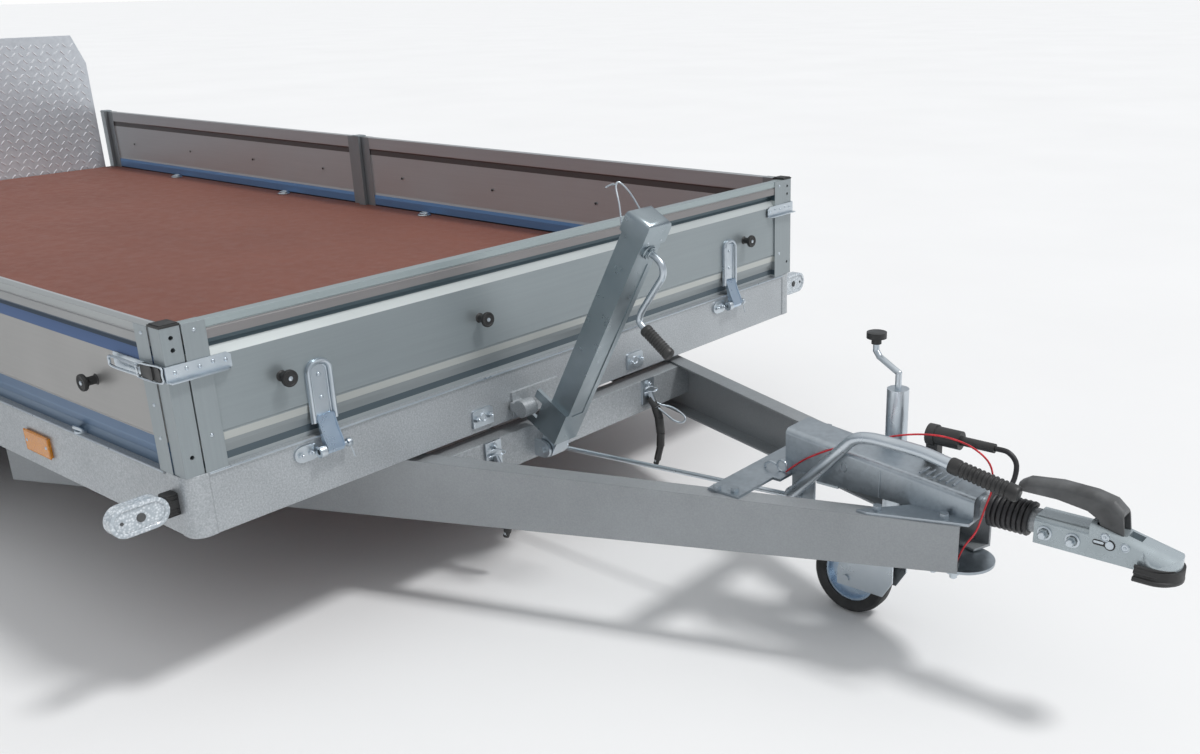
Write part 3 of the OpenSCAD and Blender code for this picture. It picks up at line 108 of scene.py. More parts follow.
# Materials
STEEL_EDGE, FINE_EDGE, MOULDED_EDGE = 0.0025, 0.0012, 0.002
EDGE_SAMPLES = 6
LOW_STOP, HIGH_STOP = 0.3, 0.7
# Sockets of the Mix node that carry its factor and colours
MIX_INPUTS, MIX_RESULT = (0, 6, 7), 2


def scaled(color, factor):
    return tuple(c * factor for c in color)


class Look:
    """A node material: one principled shader with helpers for the nodes that feed it."""

    def __init__(self, name, color, rough, metal=0.0, **sockets):
        self.mat = bpy.data.materials.new(name)
        self.mat.use_nodes = True
        self.mat.diffuse_color = (*color, 1)
        self.tree = self.mat.node_tree
        self.shader = self.tree.nodes["Principled BSDF"]
        self.place = self.tree.nodes.new("ShaderNodeTexCoord").outputs["Object"]
        self.normal = None
        self.feed(self.shader, Base_Color=(*color, 1), Roughness=rough, Metallic=metal, **sockets)

    def set(self, socket, value):
        """Give a socket a link from another one, or a value."""
        if hasattr(value, "is_linked"):
            self.tree.links.new(value, socket)
        else:
            socket.default_value = value

    def feed(self, node, **inputs):
        """Set inputs by their names, with _ for a space."""
        for key, value in inputs.items():
            self.set(node.inputs[key.replace("_", " ")], value)

    def new(self, kind, **inputs):
        node = self.tree.nodes.new(kind)
        self.feed(node, **inputs)
        return node

    def noise(self, scale, detail=3.0, stretch=None, rough=0.55):
        """Noise over the object, finer along an axis where stretch is high."""
        place = self.place
        if stretch:
            place = self.new("ShaderNodeMapping", Vector=place, Scale=stretch).outputs[0]
        node = self.new("ShaderNodeTexNoise", Vector=place, Scale=scale, Detail=detail, Roughness=rough)
        return node.outputs[0]

    def cells(self, scale, output="Color"):
        return self.new("ShaderNodeTexVoronoi", Vector=self.place, Scale=scale).outputs[output]

    def waves(self, axis, scale):
        node = self.new("ShaderNodeTexWave", Vector=self.place, Scale=scale)
        node.bands_direction = axis
        return node.outputs["Color"]

    def compute(self, operation, value, other=0.0):
        node = self.new("ShaderNodeMath", Value=value)
        node.operation = operation
        node.inputs[1].default_value = other
        return node.outputs[0]

    def ramp(self, fac, *stops):
        """A colour ramp; each stop has a position and a colour or a grey."""
        node = self.new("ShaderNodeValToRGB", Fac=fac)
        band = node.color_ramp
        while len(band.elements) < len(stops):
            band.elements.new(0.5)
        for element, (position, value) in zip(band.elements, stops):
            element.position = position
            element.color = (*value, 1) if isinstance(value, tuple) else (value, value, value, 1)
        return node.outputs[0]

    def steps(self, fac, stops):
        """A ramp whose tones change at once."""
        out = self.ramp(fac, *stops)
        out.node.color_ramp.interpolation = "CONSTANT"
        return out

    def uneven(self, noise, low, high):
        """Run from a low tone to a high one over a noise."""
        return self.ramp(noise, (LOW_STOP, low), (HIGH_STOP, high))

    def mix(self, fac, a, b, blend="MIX"):
        node = self.tree.nodes.new("ShaderNodeMix")
        node.data_type = "RGBA"
        node.blend_type = blend
        for index, value in zip(MIX_INPUTS, (fac, a, b)):
            self.set(node.inputs[index], (*value, 1) if isinstance(value, tuple) else value)
        return node.outputs[MIX_RESULT]

    def times(self, a, b):
        return self.mix(1.0, a, b, "MULTIPLY")

    def color(self, socket):
        self.feed(self.shader, Base_Color=socket)

    def rough(self, socket):
        self.feed(self.shader, Roughness=socket)

    def turn_normal(self, node):
        self.normal = node.outputs[0]
        self.feed(self.shader, Normal=self.normal)

    def edges(self, radius):
        """Round off the sharp edges in the shading."""
        node = self.new("ShaderNodeBevel", Radius=radius)
        node.samples = EDGE_SAMPLES
        self.turn_normal(node)

    def bump(self, height, depth, strength):
        node = self.new("ShaderNodeBump", Height=height, Distance=depth, Strength=strength)
        if self.normal is not None:
            self.feed(node, Normal=self.normal)
        self.turn_normal(node)


def galvanised(name, dark=1.0, grain=1.0, metal=0.6):
    """Hot-dip zinc: fine grey crystals under broad, faint clouds."""
    look = Look(name, scaled((0.50, 0.52, 0.54), dark), 0.42, metal)
    look.edges(STEEL_EDGE)
    grey = (0.475, 0.502, 0.522)
    tones = [tuple((c + step * grain) * dark for c in grey) for step in (-0.11, 0.0, 0.12)]
    flakes = look.ramp(look.noise(260, rough=0.7), *zip((0.36, 0.52, 0.68), tones))
    look.color(look.times(flakes, look.uneven(look.noise(5, 5), 0.88, 1.0)))
    look.rough(look.ramp(look.noise(70), (LOW_STOP, 0.40), (0.75, 0.50)))
    look.bump(look.noise(140, 2), 0.0003, 0.2)
    return look.mat


def zinc(name, low, high, rough, metal=1.0, dents=0.15):
    """Bright zinc plate: smooth, bluish, with slow changes of tone."""
    look = Look(name, high, rough, metal)
    look.color(look.uneven(look.noise(7), low, high))
    look.rough(look.uneven(look.noise(30), rough - 0.05, rough + 0.08))
    look.bump(look.noise(90, 2), 0.0001, dents)
    return look.mat


def spangle(name, low, high, rough):
    """Bright dip zinc with small crystals that shine unevenly."""
    look = Look(name, high, rough, 1.0)
    crystals = look.cells(130)
    tone = look.uneven(look.noise(6, 4), low, high)
    look.color(look.times(tone, look.ramp(crystals, (0.0, 0.86), (1.0, 1.0))))
    look.rough(look.ramp(crystals, (0.1, rough), (0.9, rough + 0.12)))
    look.bump(look.noise(90, 2), 0.0001, 0.15)
    return look.mat


def aluminium(name, stretch, low=(0.30, 0.335, 0.35), high=(0.32, 0.36, 0.375), rough=0.38):
    """Satin anodised extrusion with very faint draw lines along its length."""
    look = Look(name, high, rough, 0.6)
    look.edges(FINE_EDGE)
    streak = look.noise(1, 5, stretch, 0.6)
    look.color(look.uneven(streak, low, high))
    look.rough(look.uneven(look.noise(3.5, 4), rough - 0.06, rough + 0.08))
    look.bump(streak, 0.0001, 0.03)
    return look.mat


def wall(name, stretch, painted_bands, inner=None):
    """Wall extrusion: each fold of its profile has its tone, from foot to top rail, on both faces; the bright
    folds are painted highlights, the dark ones painted shade and the blue ones painted sky reflection over
    the aluminium's own grey.
    """
    look = Look(name, painted_bands[0][1], 0.36, 0.6)
    look.edges(FINE_EDGE)
    split = look.new("ShaderNodeSeparateXYZ", Vector=look.place).outputs
    foot, top = mm(BED_Z), mm(BED_Z + WALL_H)
    share = look.new("ShaderNodeMapRange", Value=split["Z"], From_Min=foot, From_Max=top).outputs[0]
    # Painted highlights, shade and sky reflection in steps by height
    tone = look.steps(share, painted_bands)
    if inner:
        # The folds of the two faces leave a core between them
        core = mm(HALF_W - 0.75 * WALL_T)
        outside = look.compute("GREATER_THAN", look.compute("ABSOLUTE", split["Y"]), core)
        # The inner faces get their own painted highlights, shade and sky reflection
        tone = look.mix(outside, look.steps(share, inner), tone)
    look.color(look.times(tone, look.uneven(look.noise(1, 5, stretch, 0.6), 0.95, 1.0)))
    look.rough(look.uneven(look.noise(3.5, 4), 0.32, 0.44))
    look.bump(look.noise(300, 2), 0.00005, 0.1)
    return look.mat


def plywood():
    """Brown film-faced boards with a fine mesh, faint lines along them and pale worn specks."""
    look = Look("plywood", (0.17, 0.056, 0.038), 0.6)
    wood = look.uneven(look.noise(1.6, 5), (0.184, 0.062, 0.041), (0.210, 0.072, 0.048))
    wood = look.times(wood, look.uneven(look.noise(1, 3, (2, 120, 2)), 0.88, 1.0))
    speck = look.ramp(look.noise(240, 2), (0.66, 0.0), (0.72, 1.0))
    worn = look.ramp(look.noise(1.4, 5), (0.4, 0.05), (0.8, 0.7))
    look.color(look.mix(look.times(speck, worn), wood, (0.62, 0.47, 0.38)))
    look.rough(look.uneven(look.noise(25), 0.52, 0.72))
    mesh = look.mix(1.0, look.waves("X", 110), look.waves("Y", 110), "ADD")
    look.bump(mesh, 0.0005, 0.6)
    return look.mat


def dull_black(name, value, rough, grain=400, depth=0.0003, tint=(1, 1, 1)):
    """Rubber or moulded plastic with a fine grain."""
    base = scaled(tint, value)
    look = Look(name, base, rough)
    look.edges(FINE_EDGE)
    look.color(look.uneven(look.noise(18, 4), scaled(base, 0.7), scaled(base, 1.5)))
    look.rough(look.uneven(look.noise(40), rough - 0.1, rough + 0.12))
    look.bump(look.noise(grain, 2), depth, 0.4)
    return look.mat


def lens(name, deep, light, scale, coat=0.6):
    """A lamp's cover with small facets under a clear coat."""
    look = Look(name, light, 0.14, 0.0, Coat_Weight=coat, Coat_Roughness=0.05)
    look.edges(MOULDED_EDGE)
    facets = look.cells(scale, "Distance")
    look.color(look.ramp(facets, (0.0, light), (0.6, deep)))
    look.rough(look.uneven(look.noise(50, 2), 0.1, 0.22))
    look.bump(facets, 0.0008, 0.5)
    return look.mat


def cord_look(name, color, rough):
    """A cable's smooth jacket."""
    look = Look(name, color, rough)
    look.color(look.uneven(look.noise(60), scaled(color, 0.7), scaled(color, 1.3)))
    look.rough(look.uneven(look.noise(90, 2), rough - 0.08, rough + 0.1))
    look.bump(look.noise(600, 2), 0.0002, 0.3)
    return look.mat


def rim_paint():
    """Silver wheel paint."""
    look = Look("rim_paint", (0.62, 0.64, 0.66), 0.36, 0.55)
    look.edges(MOULDED_EDGE)
    look.color(look.uneven(look.noise(10, 4), (0.54, 0.56, 0.58), (0.70, 0.72, 0.73)))
    look.rough(look.uneven(look.noise(70), 0.28, 0.46))
    look.bump(look.noise(500, 2), 0.0001, 0.3)
    return look.mat


# Painted light and shade by the share of the wall's height: bright bands are painted highlights on upward
# folds, dark bands painted shade in the recesses and under the top rail, blue bands painted sky reflection;
# the panels keep the aluminium's own grey
FRONT_LIGHT_AND_SHADE = [
    (0.0, (0.40, 0.43, 0.44)), (0.03, (0.10, 0.13, 0.15)), (0.08, (0.30, 0.33, 0.34)),
    (0.17, (0.52, 0.54, 0.52)), (0.225, (0.31, 0.35, 0.365)), (0.745, (0.62, 0.66, 0.655)),
    (0.805, (0.10, 0.14, 0.16)), (0.868, (0.27, 0.26, 0.26)), (0.94, (0.38, 0.44, 0.45)),
]
SIDE_LIGHT_AND_SHADE = [
    (0.0, (0.11, 0.17, 0.25)), (0.08, (0.13, 0.21, 0.33)), (0.15, (0.10, 0.17, 0.28)),
    (0.225, (0.37, 0.365, 0.355)), (0.745, (0.13, 0.21, 0.40)), (0.805, (0.07, 0.10, 0.14)),
    (0.868, (0.33, 0.335, 0.335)), (0.94, (0.38, 0.40, 0.40)),
]
INNER_LIGHT_AND_SHADE = [
    (0.0, (0.03, 0.035, 0.045)), (0.075, (0.17, 0.34, 0.62)), (0.21, (0.55, 0.58, 0.59)),
    (0.765, (0.13, 0.13, 0.13)), (0.84, (0.52, 0.54, 0.55)),
]

GALV = galvanised("galvanised", 1.0, 0.8)
GALV_DARK = galvanised("galvanised_dark", 0.78)
GALV_BEAM = galvanised("galvanised_beam", 0.72, 0.28, 0.42)
ZINC = zinc("zinc_plate", (0.50, 0.56, 0.61), (0.64, 0.69, 0.73), 0.31)
CASE = zinc("zinc_case", (0.31, 0.365, 0.395), (0.41, 0.465, 0.495), 0.31, dents=0.04)
# Bluish bright zinc: the jockey rim's tint, and a painted sky reflection on the strap tongues
BLUE_ZINC_AND_SKY = zinc("zinc_blue_and_sky_reflection", (0.40, 0.52, 0.66), (0.58, 0.68, 0.78), 0.28, dents=0.03)
HEAD = zinc("zinc_head", (0.36, 0.41, 0.43), (0.46, 0.52, 0.55), 0.25, metal=0.5)
HOUSING = spangle("zinc_housing", (0.38, 0.43, 0.47), (0.50, 0.55, 0.59), 0.32)
ALU_X = wall("aluminium_along_painted_light", (3, 160, 160), SIDE_LIGHT_AND_SHADE, INNER_LIGHT_AND_SHADE)
ALU_Y = wall("aluminium_across_painted_light", (160, 3, 160), FRONT_LIGHT_AND_SHADE)
ALU_Z = aluminium("aluminium_post", (160, 160, 4))
TREAD = aluminium("aluminium_tread", (40, 40, 40), (0.62, 0.66, 0.70), (0.72, 0.76, 0.80), 0.44)
BARS = aluminium("aluminium_bars", (40, 40, 40), (0.84, 0.87, 0.90), (0.90, 0.92, 0.95), 0.30)
PLY = plywood()
RUBBER = dull_black("rubber_black", 0.022, 0.55)
PLASTIC = dull_black("plastic_black", 0.028, 0.42, 900, 0.0002)
TYRE = dull_black("tyre_rubber", 0.026, 0.68, 250, 0.0004)
GREY = dull_black("handle_plastic", 0.085, 0.48, 420, 0.0009, (0.97, 1.0, 1.02))
CLEAR = lens("lamp_clear", (0.42, 0.47, 0.51), (0.84, 0.88, 0.91), 180)
AMBER = lens("reflector_amber", (0.62, 0.21, 0.004), (0.82, 0.34, 0.008), 240, 0.3)
RED = lens("lamp_red", (0.25, 0.005, 0.008), (0.60, 0.02, 0.025), 200)
RED_CABLE = cord_look("cable_red", (0.55, 0.02, 0.03), 0.38)
BLACK_CABLE = cord_look("cable_black", (0.02, 0.02, 0.022), 0.42)
RIM = rim_paint()

FINISHES = (
    (GALV, ("front_beam", "mid_beam", "chassis_rail_left", "chassis_rail_right", "mudguard_left",
            "mudguard_right", "side_rail_left", "side_rail_right", "front_rail", "rear_rail",
            "cross_members")),
    (GALV_DARK, ("pivot_shaft", "axle_front", "axle_rear", "draw_tube")),
    (GALV_BEAM, ("drawbar_left", "drawbar_right")),
    (ZINC, ("handbrake_lever", "jockey_tube", "jockey_fork", "brake_rod", "beam_fittings", "jack_rod",
            "jack_crank", "wall_fittings")),
    (CASE, ("jack_case",)),
    (BLUE_ZINC_AND_SKY, ("jockey_rim",)),
    (HEAD, ("coupling_head",)),
    (HOUSING, ("overrun_housing",)),
    (ALU_X, ("side_walls_left", "side_walls_right")),
    (ALU_Y, ("front_wall",)),
    (ALU_Z, ("posts", "ramp_frame")),
    (TREAD, ("ramp_plate",)),
    (PLY, ("deck",)),
    (RUBBER, ("coupling_bumper", "rubber_fittings")),
    (PLASTIC, ("handbrake_grip", "jockey_knob", "lead_plug", "jack_grip")),
    (TYRE, ("jockey_tyre", "tyre_fl", "tyre_fr", "tyre_rl", "tyre_rr")),
    (GREY, ("coupling_handle",)),
    (CLEAR, ("front_lamps",)),
    (AMBER, ("side_reflectors",)),
    (RED, ("tail_lamps",)),
    (RED_CABLE, ("breakaway_cable",)),
    (BLACK_CABLE, ("lead_coil", "lead_cord", "beam_cable")),
    (RIM, ("rim_fl", "rim_fr", "rim_rl", "rim_rr")),
)
for mat, names in FINISHES:
    for name in names:
        slots = NODES[name].data.materials
        slots.clear()
        slots.append(mat)

# Cords
TUBE_Z = -127
LEAD_D, CABLE_D = 11, 4
COIL_X, COIL_R, COIL_TURNS, COIL_SIDES = 1184, 30.5, 9, 20
ROUTE_STEPS = 6
LEAD = [(1162.2, 62, -24), (1190, 63, -26), (1210, 60, -44), (1214, 48, -72), (1210, 27.2, -95.6)]
CABLE = [
    (731, -62, -138.8), (780, -58, -98), (850, -56, -58), (925, -56, -26), (992, -54, 2), (1052, -50, 18),
    (1106, -46, 22), (1158, -42, 12), (1196, -38, -16), (1206, -40, -60), (1196, -46, -110),
    (1184, -52, -160), (1162, -56, -200), (1146, -60, -245.4),
]


def smooth_route(points, steps):
    """A curve through the points, with a number of steps between each two."""
    out = []
    for i in range(len(points) - 1):
        a, b = points[max(i - 1, 0)], points[i]
        c, d = points[i + 1], points[min(i + 2, len(points) - 1)]
        for k in range(steps):
            t = k / steps
            bend, twist = a * 2 - b * 5 + c * 4 - d, b * 3 - a - c * 3 + d
            out.append((b * 2 + (c - a) * t + bend * t * t + twist * t ** 3) / 2)
    return out + [points[-1]]


def coil_turns():
    """The lead's turns side by side on the draw tube, from the end of its free run."""
    x, y, z = LEAD[-1]
    first = COIL_X + LEAD_D / 2
    start = math.atan2(z - TUBE_Z, y)
    out = []
    for i in range(COIL_TURNS * COIL_SIDES + 1):
        turns = i / COIL_SIDES
        along = x + (first - x) * turns if turns < 1 else first + LEAD_D * (turns - 1)
        a = start - FULL_TURN * turns
        out.append(at(along, COIL_R * math.cos(a), TUBE_Z + COIL_R * math.sin(a)))
    return out


def cord_curve(name, points, diameter, mat):
    """A round cord along a route."""
    data = bpy.data.curves.new(name, "CURVE")
    data.dimensions = "3D"
    data.bevel_depth = diameter / 2
    data.bevel_resolution = 4
    data.use_fill_caps = True
    spline = data.splines.new("POLY")
    spline.points.add(len(points) - 1)
    for p, q in zip(spline.points, points):
        p.co = (*q, 1)
    data.materials.append(mat)
    obj = bpy.data.objects.new(name, data)
    show(obj)
    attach(obj, "chassis")
    return obj


def make_cords():
    """The lead, from its plug to its coil, and the breakaway cable."""
    route = smooth_route([at(*p) for p in LEAD], ROUTE_STEPS)[:-1] + coil_turns()
    obj = cord_curve("lead", route, mm(LEAD_D), BLACK_CABLE)
    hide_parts("lead_cord", "lead_coil")
    route = smooth_route([at(*p) for p in CABLE], ROUTE_STEPS)
    obj = cord_curve("breakaway", route, mm(CABLE_D), RED_CABLE)
    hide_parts("breakaway_cable")


make_cords()

# Shapes for the trim
SMOOTH_ANGLE = math.radians(38)


def ring_faces(rings, count):
    """Quads between neighbouring rings that have count points each."""
    faces = []
    for low in range(0, (rings - 1) * count, count):
        top = low + count
        for k in range(count):
            n = (k + 1) % count
            faces.append((low + k, low + n, top + n, top + k))
    return faces


def end_faces(rings, count):
    """The two faces that close the first and the last ring."""
    last = (rings - 1) * count
    return [tuple(range(count - 1, -1, -1)), tuple(range(last, last + count))]


class Shell:
    """Loose solids in bed millimetres, joined into one piece that rides on one body."""

    def __init__(self):
        self.verts, self.faces = [], []

    def add(self, verts, faces):
        start = len(self.verts)
        self.verts += [at(*v) for v in verts]
        self.faces += [tuple(start + i for i in f) for f in faces]

    def lathe(self, profile, origin, axis, sides=20):
        """Turn (radius, height) points about an axis; a zero radius closes an end."""
        axis = Vector(axis).normalized()
        u = axis.orthogonal().normalized()
        v = axis.cross(u)
        verts, faces, rows = [], [], []
        for r, h in profile:
            centre = Vector(origin) + axis * h
            if r == 0:
                rows.append([len(verts)])
                verts.append(centre)
                continue
            rows.append(range(len(verts), len(verts) + sides))
            verts += [centre + (u * math.cos(a) + v * math.sin(a)) * r for a in angles(sides)[:-1]]
        for low, top in zip(rows, rows[1:]):
            for k in range(sides):
                n = (k + 1) % sides
                ring = [low[k % len(low)], low[n % len(low)], top[n % len(top)], top[k % len(top)]]
                faces.append(tuple(dict.fromkeys(ring)))
        self.add(verts, faces)

    def tube(self, points, d, sides=8, steps=4):
        """A round wire along a smooth path, closed at both ends."""
        path = smooth_route([Vector(p) for p in points], steps)
        side = (path[1] - path[0]).orthogonal().normalized()
        verts = []
        for i, p in enumerate(path):
            t = (path[min(i + 1, len(path) - 1)] - path[max(i - 1, 0)]).normalized()
            side = (side - t * side.dot(t)).normalized()
            up = t.cross(side)
            verts += [p + (side * math.cos(a) + up * math.sin(a)) * d / 2 for a in angles(sides)[:-1]]
        self.add(verts, ring_faces(len(path), sides) + end_faces(len(path), sides))

    def prism(self, outline, origin, u, v, depth):
        """Extrude an outline, given along two unit directions, by a depth along their normal."""
        u, v = Vector(u), Vector(v)
        low = [Vector(origin) + u * a + v * b for a, b in outline]
        top = [p + u.cross(v) * depth for p in low]
        self.add(low + top, end_faces(2, len(low)) + ring_faces(2, len(low)))

    def rivet(self, origin, axis, d=9, h=3):
        """A low domed head."""
        r = d / 2
        self.lathe([(r, 0), (r * 0.92, h * 0.45), (r * 0.6, h * 0.85), (0, h)], origin, axis, sides=10)

    def bolt(self, origin, axis, d, h):
        """A hexagon nut on its washer, and the end of the thread."""
        washer_r, nut_r, bevel_r, thread_r = d * 0.72, d * 0.58, d * 0.48, d * 0.28
        washer_t, top, end = 2, h + 1, h + 6
        nut = [(washer_r, 0), (washer_r, washer_t), (d / 2, washer_t), (nut_r, washer_t + 0.2), (nut_r, h),
               (bevel_r, top), (0, top)]
        thread = [(thread_r, h), (thread_r, end - 1), (d / 5, end), (0, end)]
        self.lathe(nut, origin, axis, sides=6)
        self.lathe(thread, origin, axis, sides=10)

    def make(self, name, mat, body, slot, replaces=()):
        """Turn the solids into a piece of the scene."""
        data = bpy.data.meshes.new(name)
        data.from_pydata(self.verts, [], self.faces)
        data.materials.append(mat)
        data.update()
        data.shade_smooth()
        data.set_sharp_from_angle(angle=SMOOTH_ANGLE)
        obj = bpy.data.objects.new(name, data)
        show(obj)
        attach(obj, body)
        if replaces:
            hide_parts(*replaces)


def placed(points, y, s=1):
    """Points about a place y across the bed, mirrored for s = -1."""
    return [(x, y + s * dy, z) for x, dy, z in points]


def rectangle(a0, b0, a1, b1):
    return [(a0, b0), (a1, b0), (a1, b1), (a0, b1)]


def arch(w, low, top, r, sides=8):
    """A strip with a round-cornered top, as (across, up) points from its lower left."""
    out = [(-w / 2, low)]
    for corner, start in ((r - w / 2, math.pi), (w / 2 - r, math.pi / 2)):
        out += [(corner + r * math.cos(a), top - r + r * math.sin(a))
                for a in angles(sides, start, -math.pi / 2)]
    return out + [(w / 2, low)]


def oval(w, h, sides=10):
    """Two half rounds joined by straight edges."""
    r, run = h / 2, (w - h) / 2
    right = [(run + r * math.cos(a), r * math.sin(a)) for a in angles(sides, -math.pi / 2, math.pi)]
    return right + [(-x, -z) for x, z in right]


def circle(r, steps=12):
    """A closed round, with its first point again at its end."""
    return [(r * math.cos(a), r * math.sin(a)) for a in angles(steps)]


# Trim of the walls and rails
SKIN = 1.5
STRAPS = (-721.8, 712.4)
STRAP_W, STRAP_TOP, STRAP_R = 63, 163, 27
HINGE_X, HINGE_Z = 22, -30
FOOT_W, FOOT_H, FOOT_T, FOOT_OFF = 60, 36, 6, 55
RAIL_PLATES = (-292.2, 268.3)
KNOBS = (-805, -271, 271, 791)
SIDE_KNOBS = (-298, -1300, -2899, -3901)
KNOB_Z, KNOB_FACE = 147, 31
LASHING_X, LASHING_Y = (-799, -1737, -2709, -3624), 983
EYE_X, EYE_Y = (-436, -1292, -3201, -4052), 1027
LATCH_LOW, LATCH_TOP, LATCH_T = 196, 228, 3
LATCH_END, LATCH_TAIL, TOGGLE_OUT = 130, -190, 14
LEVER_LOW, LEVER_TOP = 198, 226


def hinge_strap(shell, y):
    """A pressed strap with raised rims, its hinge pin, eye and foot plate."""
    hinge = (HINGE_X, y, HINGE_Z)
    low, rim_low, sunk, thick = 26, 28, 2, 2.5
    pin = [(0, -34), (5, -34), (5, 30), (9, 32), (10, 37), (9, 42), (5, 45), (0, 45)]
    eye = [(6, -26), (13, -26), (13.5, -24), (13.5, -36), (13, -38), (6, -38)]
    shell.prism(arch(STRAP_W, low, STRAP_TOP, STRAP_R), (-sunk, y, 0), LEFT, UP, thick)
    for inset, d in ((5, 10), (13, 4)):
        rim = arch(STRAP_W - 2 * inset, rim_low, STRAP_TOP - inset, STRAP_R - inset)
        shell.tube([(d / 2 - 1, y + a, b) for a, b in rim], d, steps=1)
    shell.lathe(pin, hinge, LEFT, sides=16)
    shell.lathe(eye, hinge, LEFT)
    shell.prism(oval(FOOT_W, FOOT_H, 6), (0, y - FOOT_OFF, HINGE_Z), LEFT, UP, FOOT_T)


def rail_plate(shell, y):
    """A plate with round upper corners on the front rail, with a ring and two bolts."""
    w, half_h, corner_r, thick, z, bolt_y = 64, 22, 9, 6, -95, 21
    ring = [(8, 5.8), (8, 7), (10, 8.5), (12, 7), (12, 5.8)]
    shell.prism(arch(w, z - half_h, z + half_h, corner_r), (0, y, 0), LEFT, UP, thick)
    shell.lathe(ring, (0, y, z), FRONT)
    for dy in (-bolt_y, bolt_y):
        shell.bolt((thick, y + dy, z), FRONT, d=13, h=6)


def corner_latch(shell, s):
    """A strap folded round the corner with a lip below, and the wires of its toggle."""
    out, end, fold, lip_x = HALF_W + SKIN, HALF_W - LATCH_END, SKIN + LATCH_T, 17.5
    front = [(end, 198), (end + 4, LATCH_LOW), (out, LATCH_LOW), (out, LATCH_TOP), (end + 8, LATCH_TOP),
             (end, 222)]
    lip = [(SKIN, end + 2), (12, end + 8), (lip_x, end + 18), (lip_x, out), (SKIN, out)]
    side = [(LATCH_TAIL, 200), (LATCH_TAIL + 4, LATCH_LOW), (fold, LATCH_LOW), (fold, LATCH_TOP),
            (LATCH_TAIL + 4, LATCH_TOP), (LATCH_TAIL, 224)]
    shell.prism([(s * y, z) for y, z in front], (SKIN, 0, 0), LEFT, UP, LATCH_T)
    shell.prism([(x, s * y) for x, y in lip], (0, 0, LATCH_LOW), FRONT, LEFT, LATCH_T)
    shell.prism(side, (0, s * out, 0), FRONT, UP, -LATCH_T * s)
    reach, loop_d, link_d = out + TOGGLE_OUT, 6, 4
    loop = [(-72, 222), (-150, 223), (-183, 221), (-185, 212), (-183, 203), (-150, 201), (-72, 202)]
    shell.tube([(x, s * reach, z) for x, z in loop], loop_d, steps=3)
    link = [(-80, 0, 198), (-80, 0, 212), (-80, 0, 226), (-42, 3, 228), (-4, 8, 227), (-3, 8, 212),
            (-4, 8, 197), (-42, 3, 196), (-80, 0, 198)]
    shell.tube([(x, s * (reach - dy), z) for x, dy, z in link], link_d, steps=3)


def wall_fittings():
    """Steel straps, rail plates, corner latches, lashing cups and eye plates."""
    shell = Shell()
    cup = [(26, 17), (26, 20.5), (23, 23), (12, 23), (9, 22), (0, 22)]
    eye_plate = [(18, 0), (18, 3.5), (16, 5), (0, 5)]
    for y in STRAPS:
        hinge_strap(shell, y)
    for y in RAIL_PLATES:
        rail_plate(shell, y)
    for s in SIDES:
        corner_latch(shell, s)
        for x in LASHING_X:
            shell.lathe(cup, (x, s * LASHING_Y, 0), UP, sides=24)
        for x in EYE_X:
            shell.lathe(eye_plate, (x, s * EYE_Y, 0), UP)
    shell.make("wall_fittings_pressed", ZINC, "bed", "zinc", ("wall_fittings",))


def strap_tongues():
    """The straps' bent tongues, with a rounded bead along each edge; their bright blue zinc is a painted sky
    reflection.
    """
    shell = Shell()
    half_w, bead_d = 20, 4
    fold = [(0, 36), (6, 42), (15, 12), (28, -16), (32, -30), (28, -38), (18, -38), (14, -30), (10, -10)]
    bead = [(6, 40), (16, 12), (28, -15), (32, -30)]
    for y in STRAPS:
        shell.prism(fold, (0, y + half_w, 0), FRONT, UP, 2 * half_w)
        for dy in (-half_w, half_w):
            shell.tube([(x, y + dy, z) for x, z in bead], bead_d, steps=3)
    shell.make("strap_tongues", BLUE_ZINC_AND_SKY, "bed", "zinc")


def wall_caps():
    """Plain end caps over the folds of each wall."""
    shell = Shell()
    w, top, thick, proud, inner = 48, WALL_H + 0.5, 0.9, 1.2, WALL_T + 0.5
    front_y, side_x = 950, (-90, MID_X + 22, MID_X - 70, 42 - BED_LEN)
    for s in SIDES:
        cap = rectangle(s * front_y, 0, s * (front_y + w), top)
        for x in (proud, -inner):
            shell.prism(cap, (x, 0, 0), LEFT, UP, thick)
        for x in side_x:
            for y in (HALF_W + proud, HALF_W - inner):
                shell.prism(rectangle(x, 0, x + w, top), (0, s * y, 0), FRONT, UP, -thick * s)
    shell.make("wall_caps", ALU_Z, "bed", "aluminium")


def rail_highlight_beads():
    """Rolled edges along the top of the bed's rails, in bright zinc as a painted highlight line on the
    galvanised rails, and eyes on the side rails.
    """
    shell = Shell()
    d, z, front_x, side_y = 5, -2.5, 2.4, HALF_W + 1.6
    front_run, side_run = (-992, 0, 992), (-80, MID_X, 52 - BED_LEN)
    eye = [(-16, 4, 3), (-13, 11, 10), (0, 16, 13), (13, 11, 10), (16, 4, 3)]
    eye_d = 8
    shell.tube([(front_x, y, z) for y in front_run], d, steps=2)
    for s in SIDES:
        shell.tube([(x, s * side_y, z) for x in side_run], d, steps=2)
        for x in EYE_X:
            shell.tube([(x + dx, s * (EYE_Y + dy), up) for dx, dy, up in eye], eye_d, steps=3)
    shell.make("rail_highlight_beads", ZINC, "bed", "zinc")


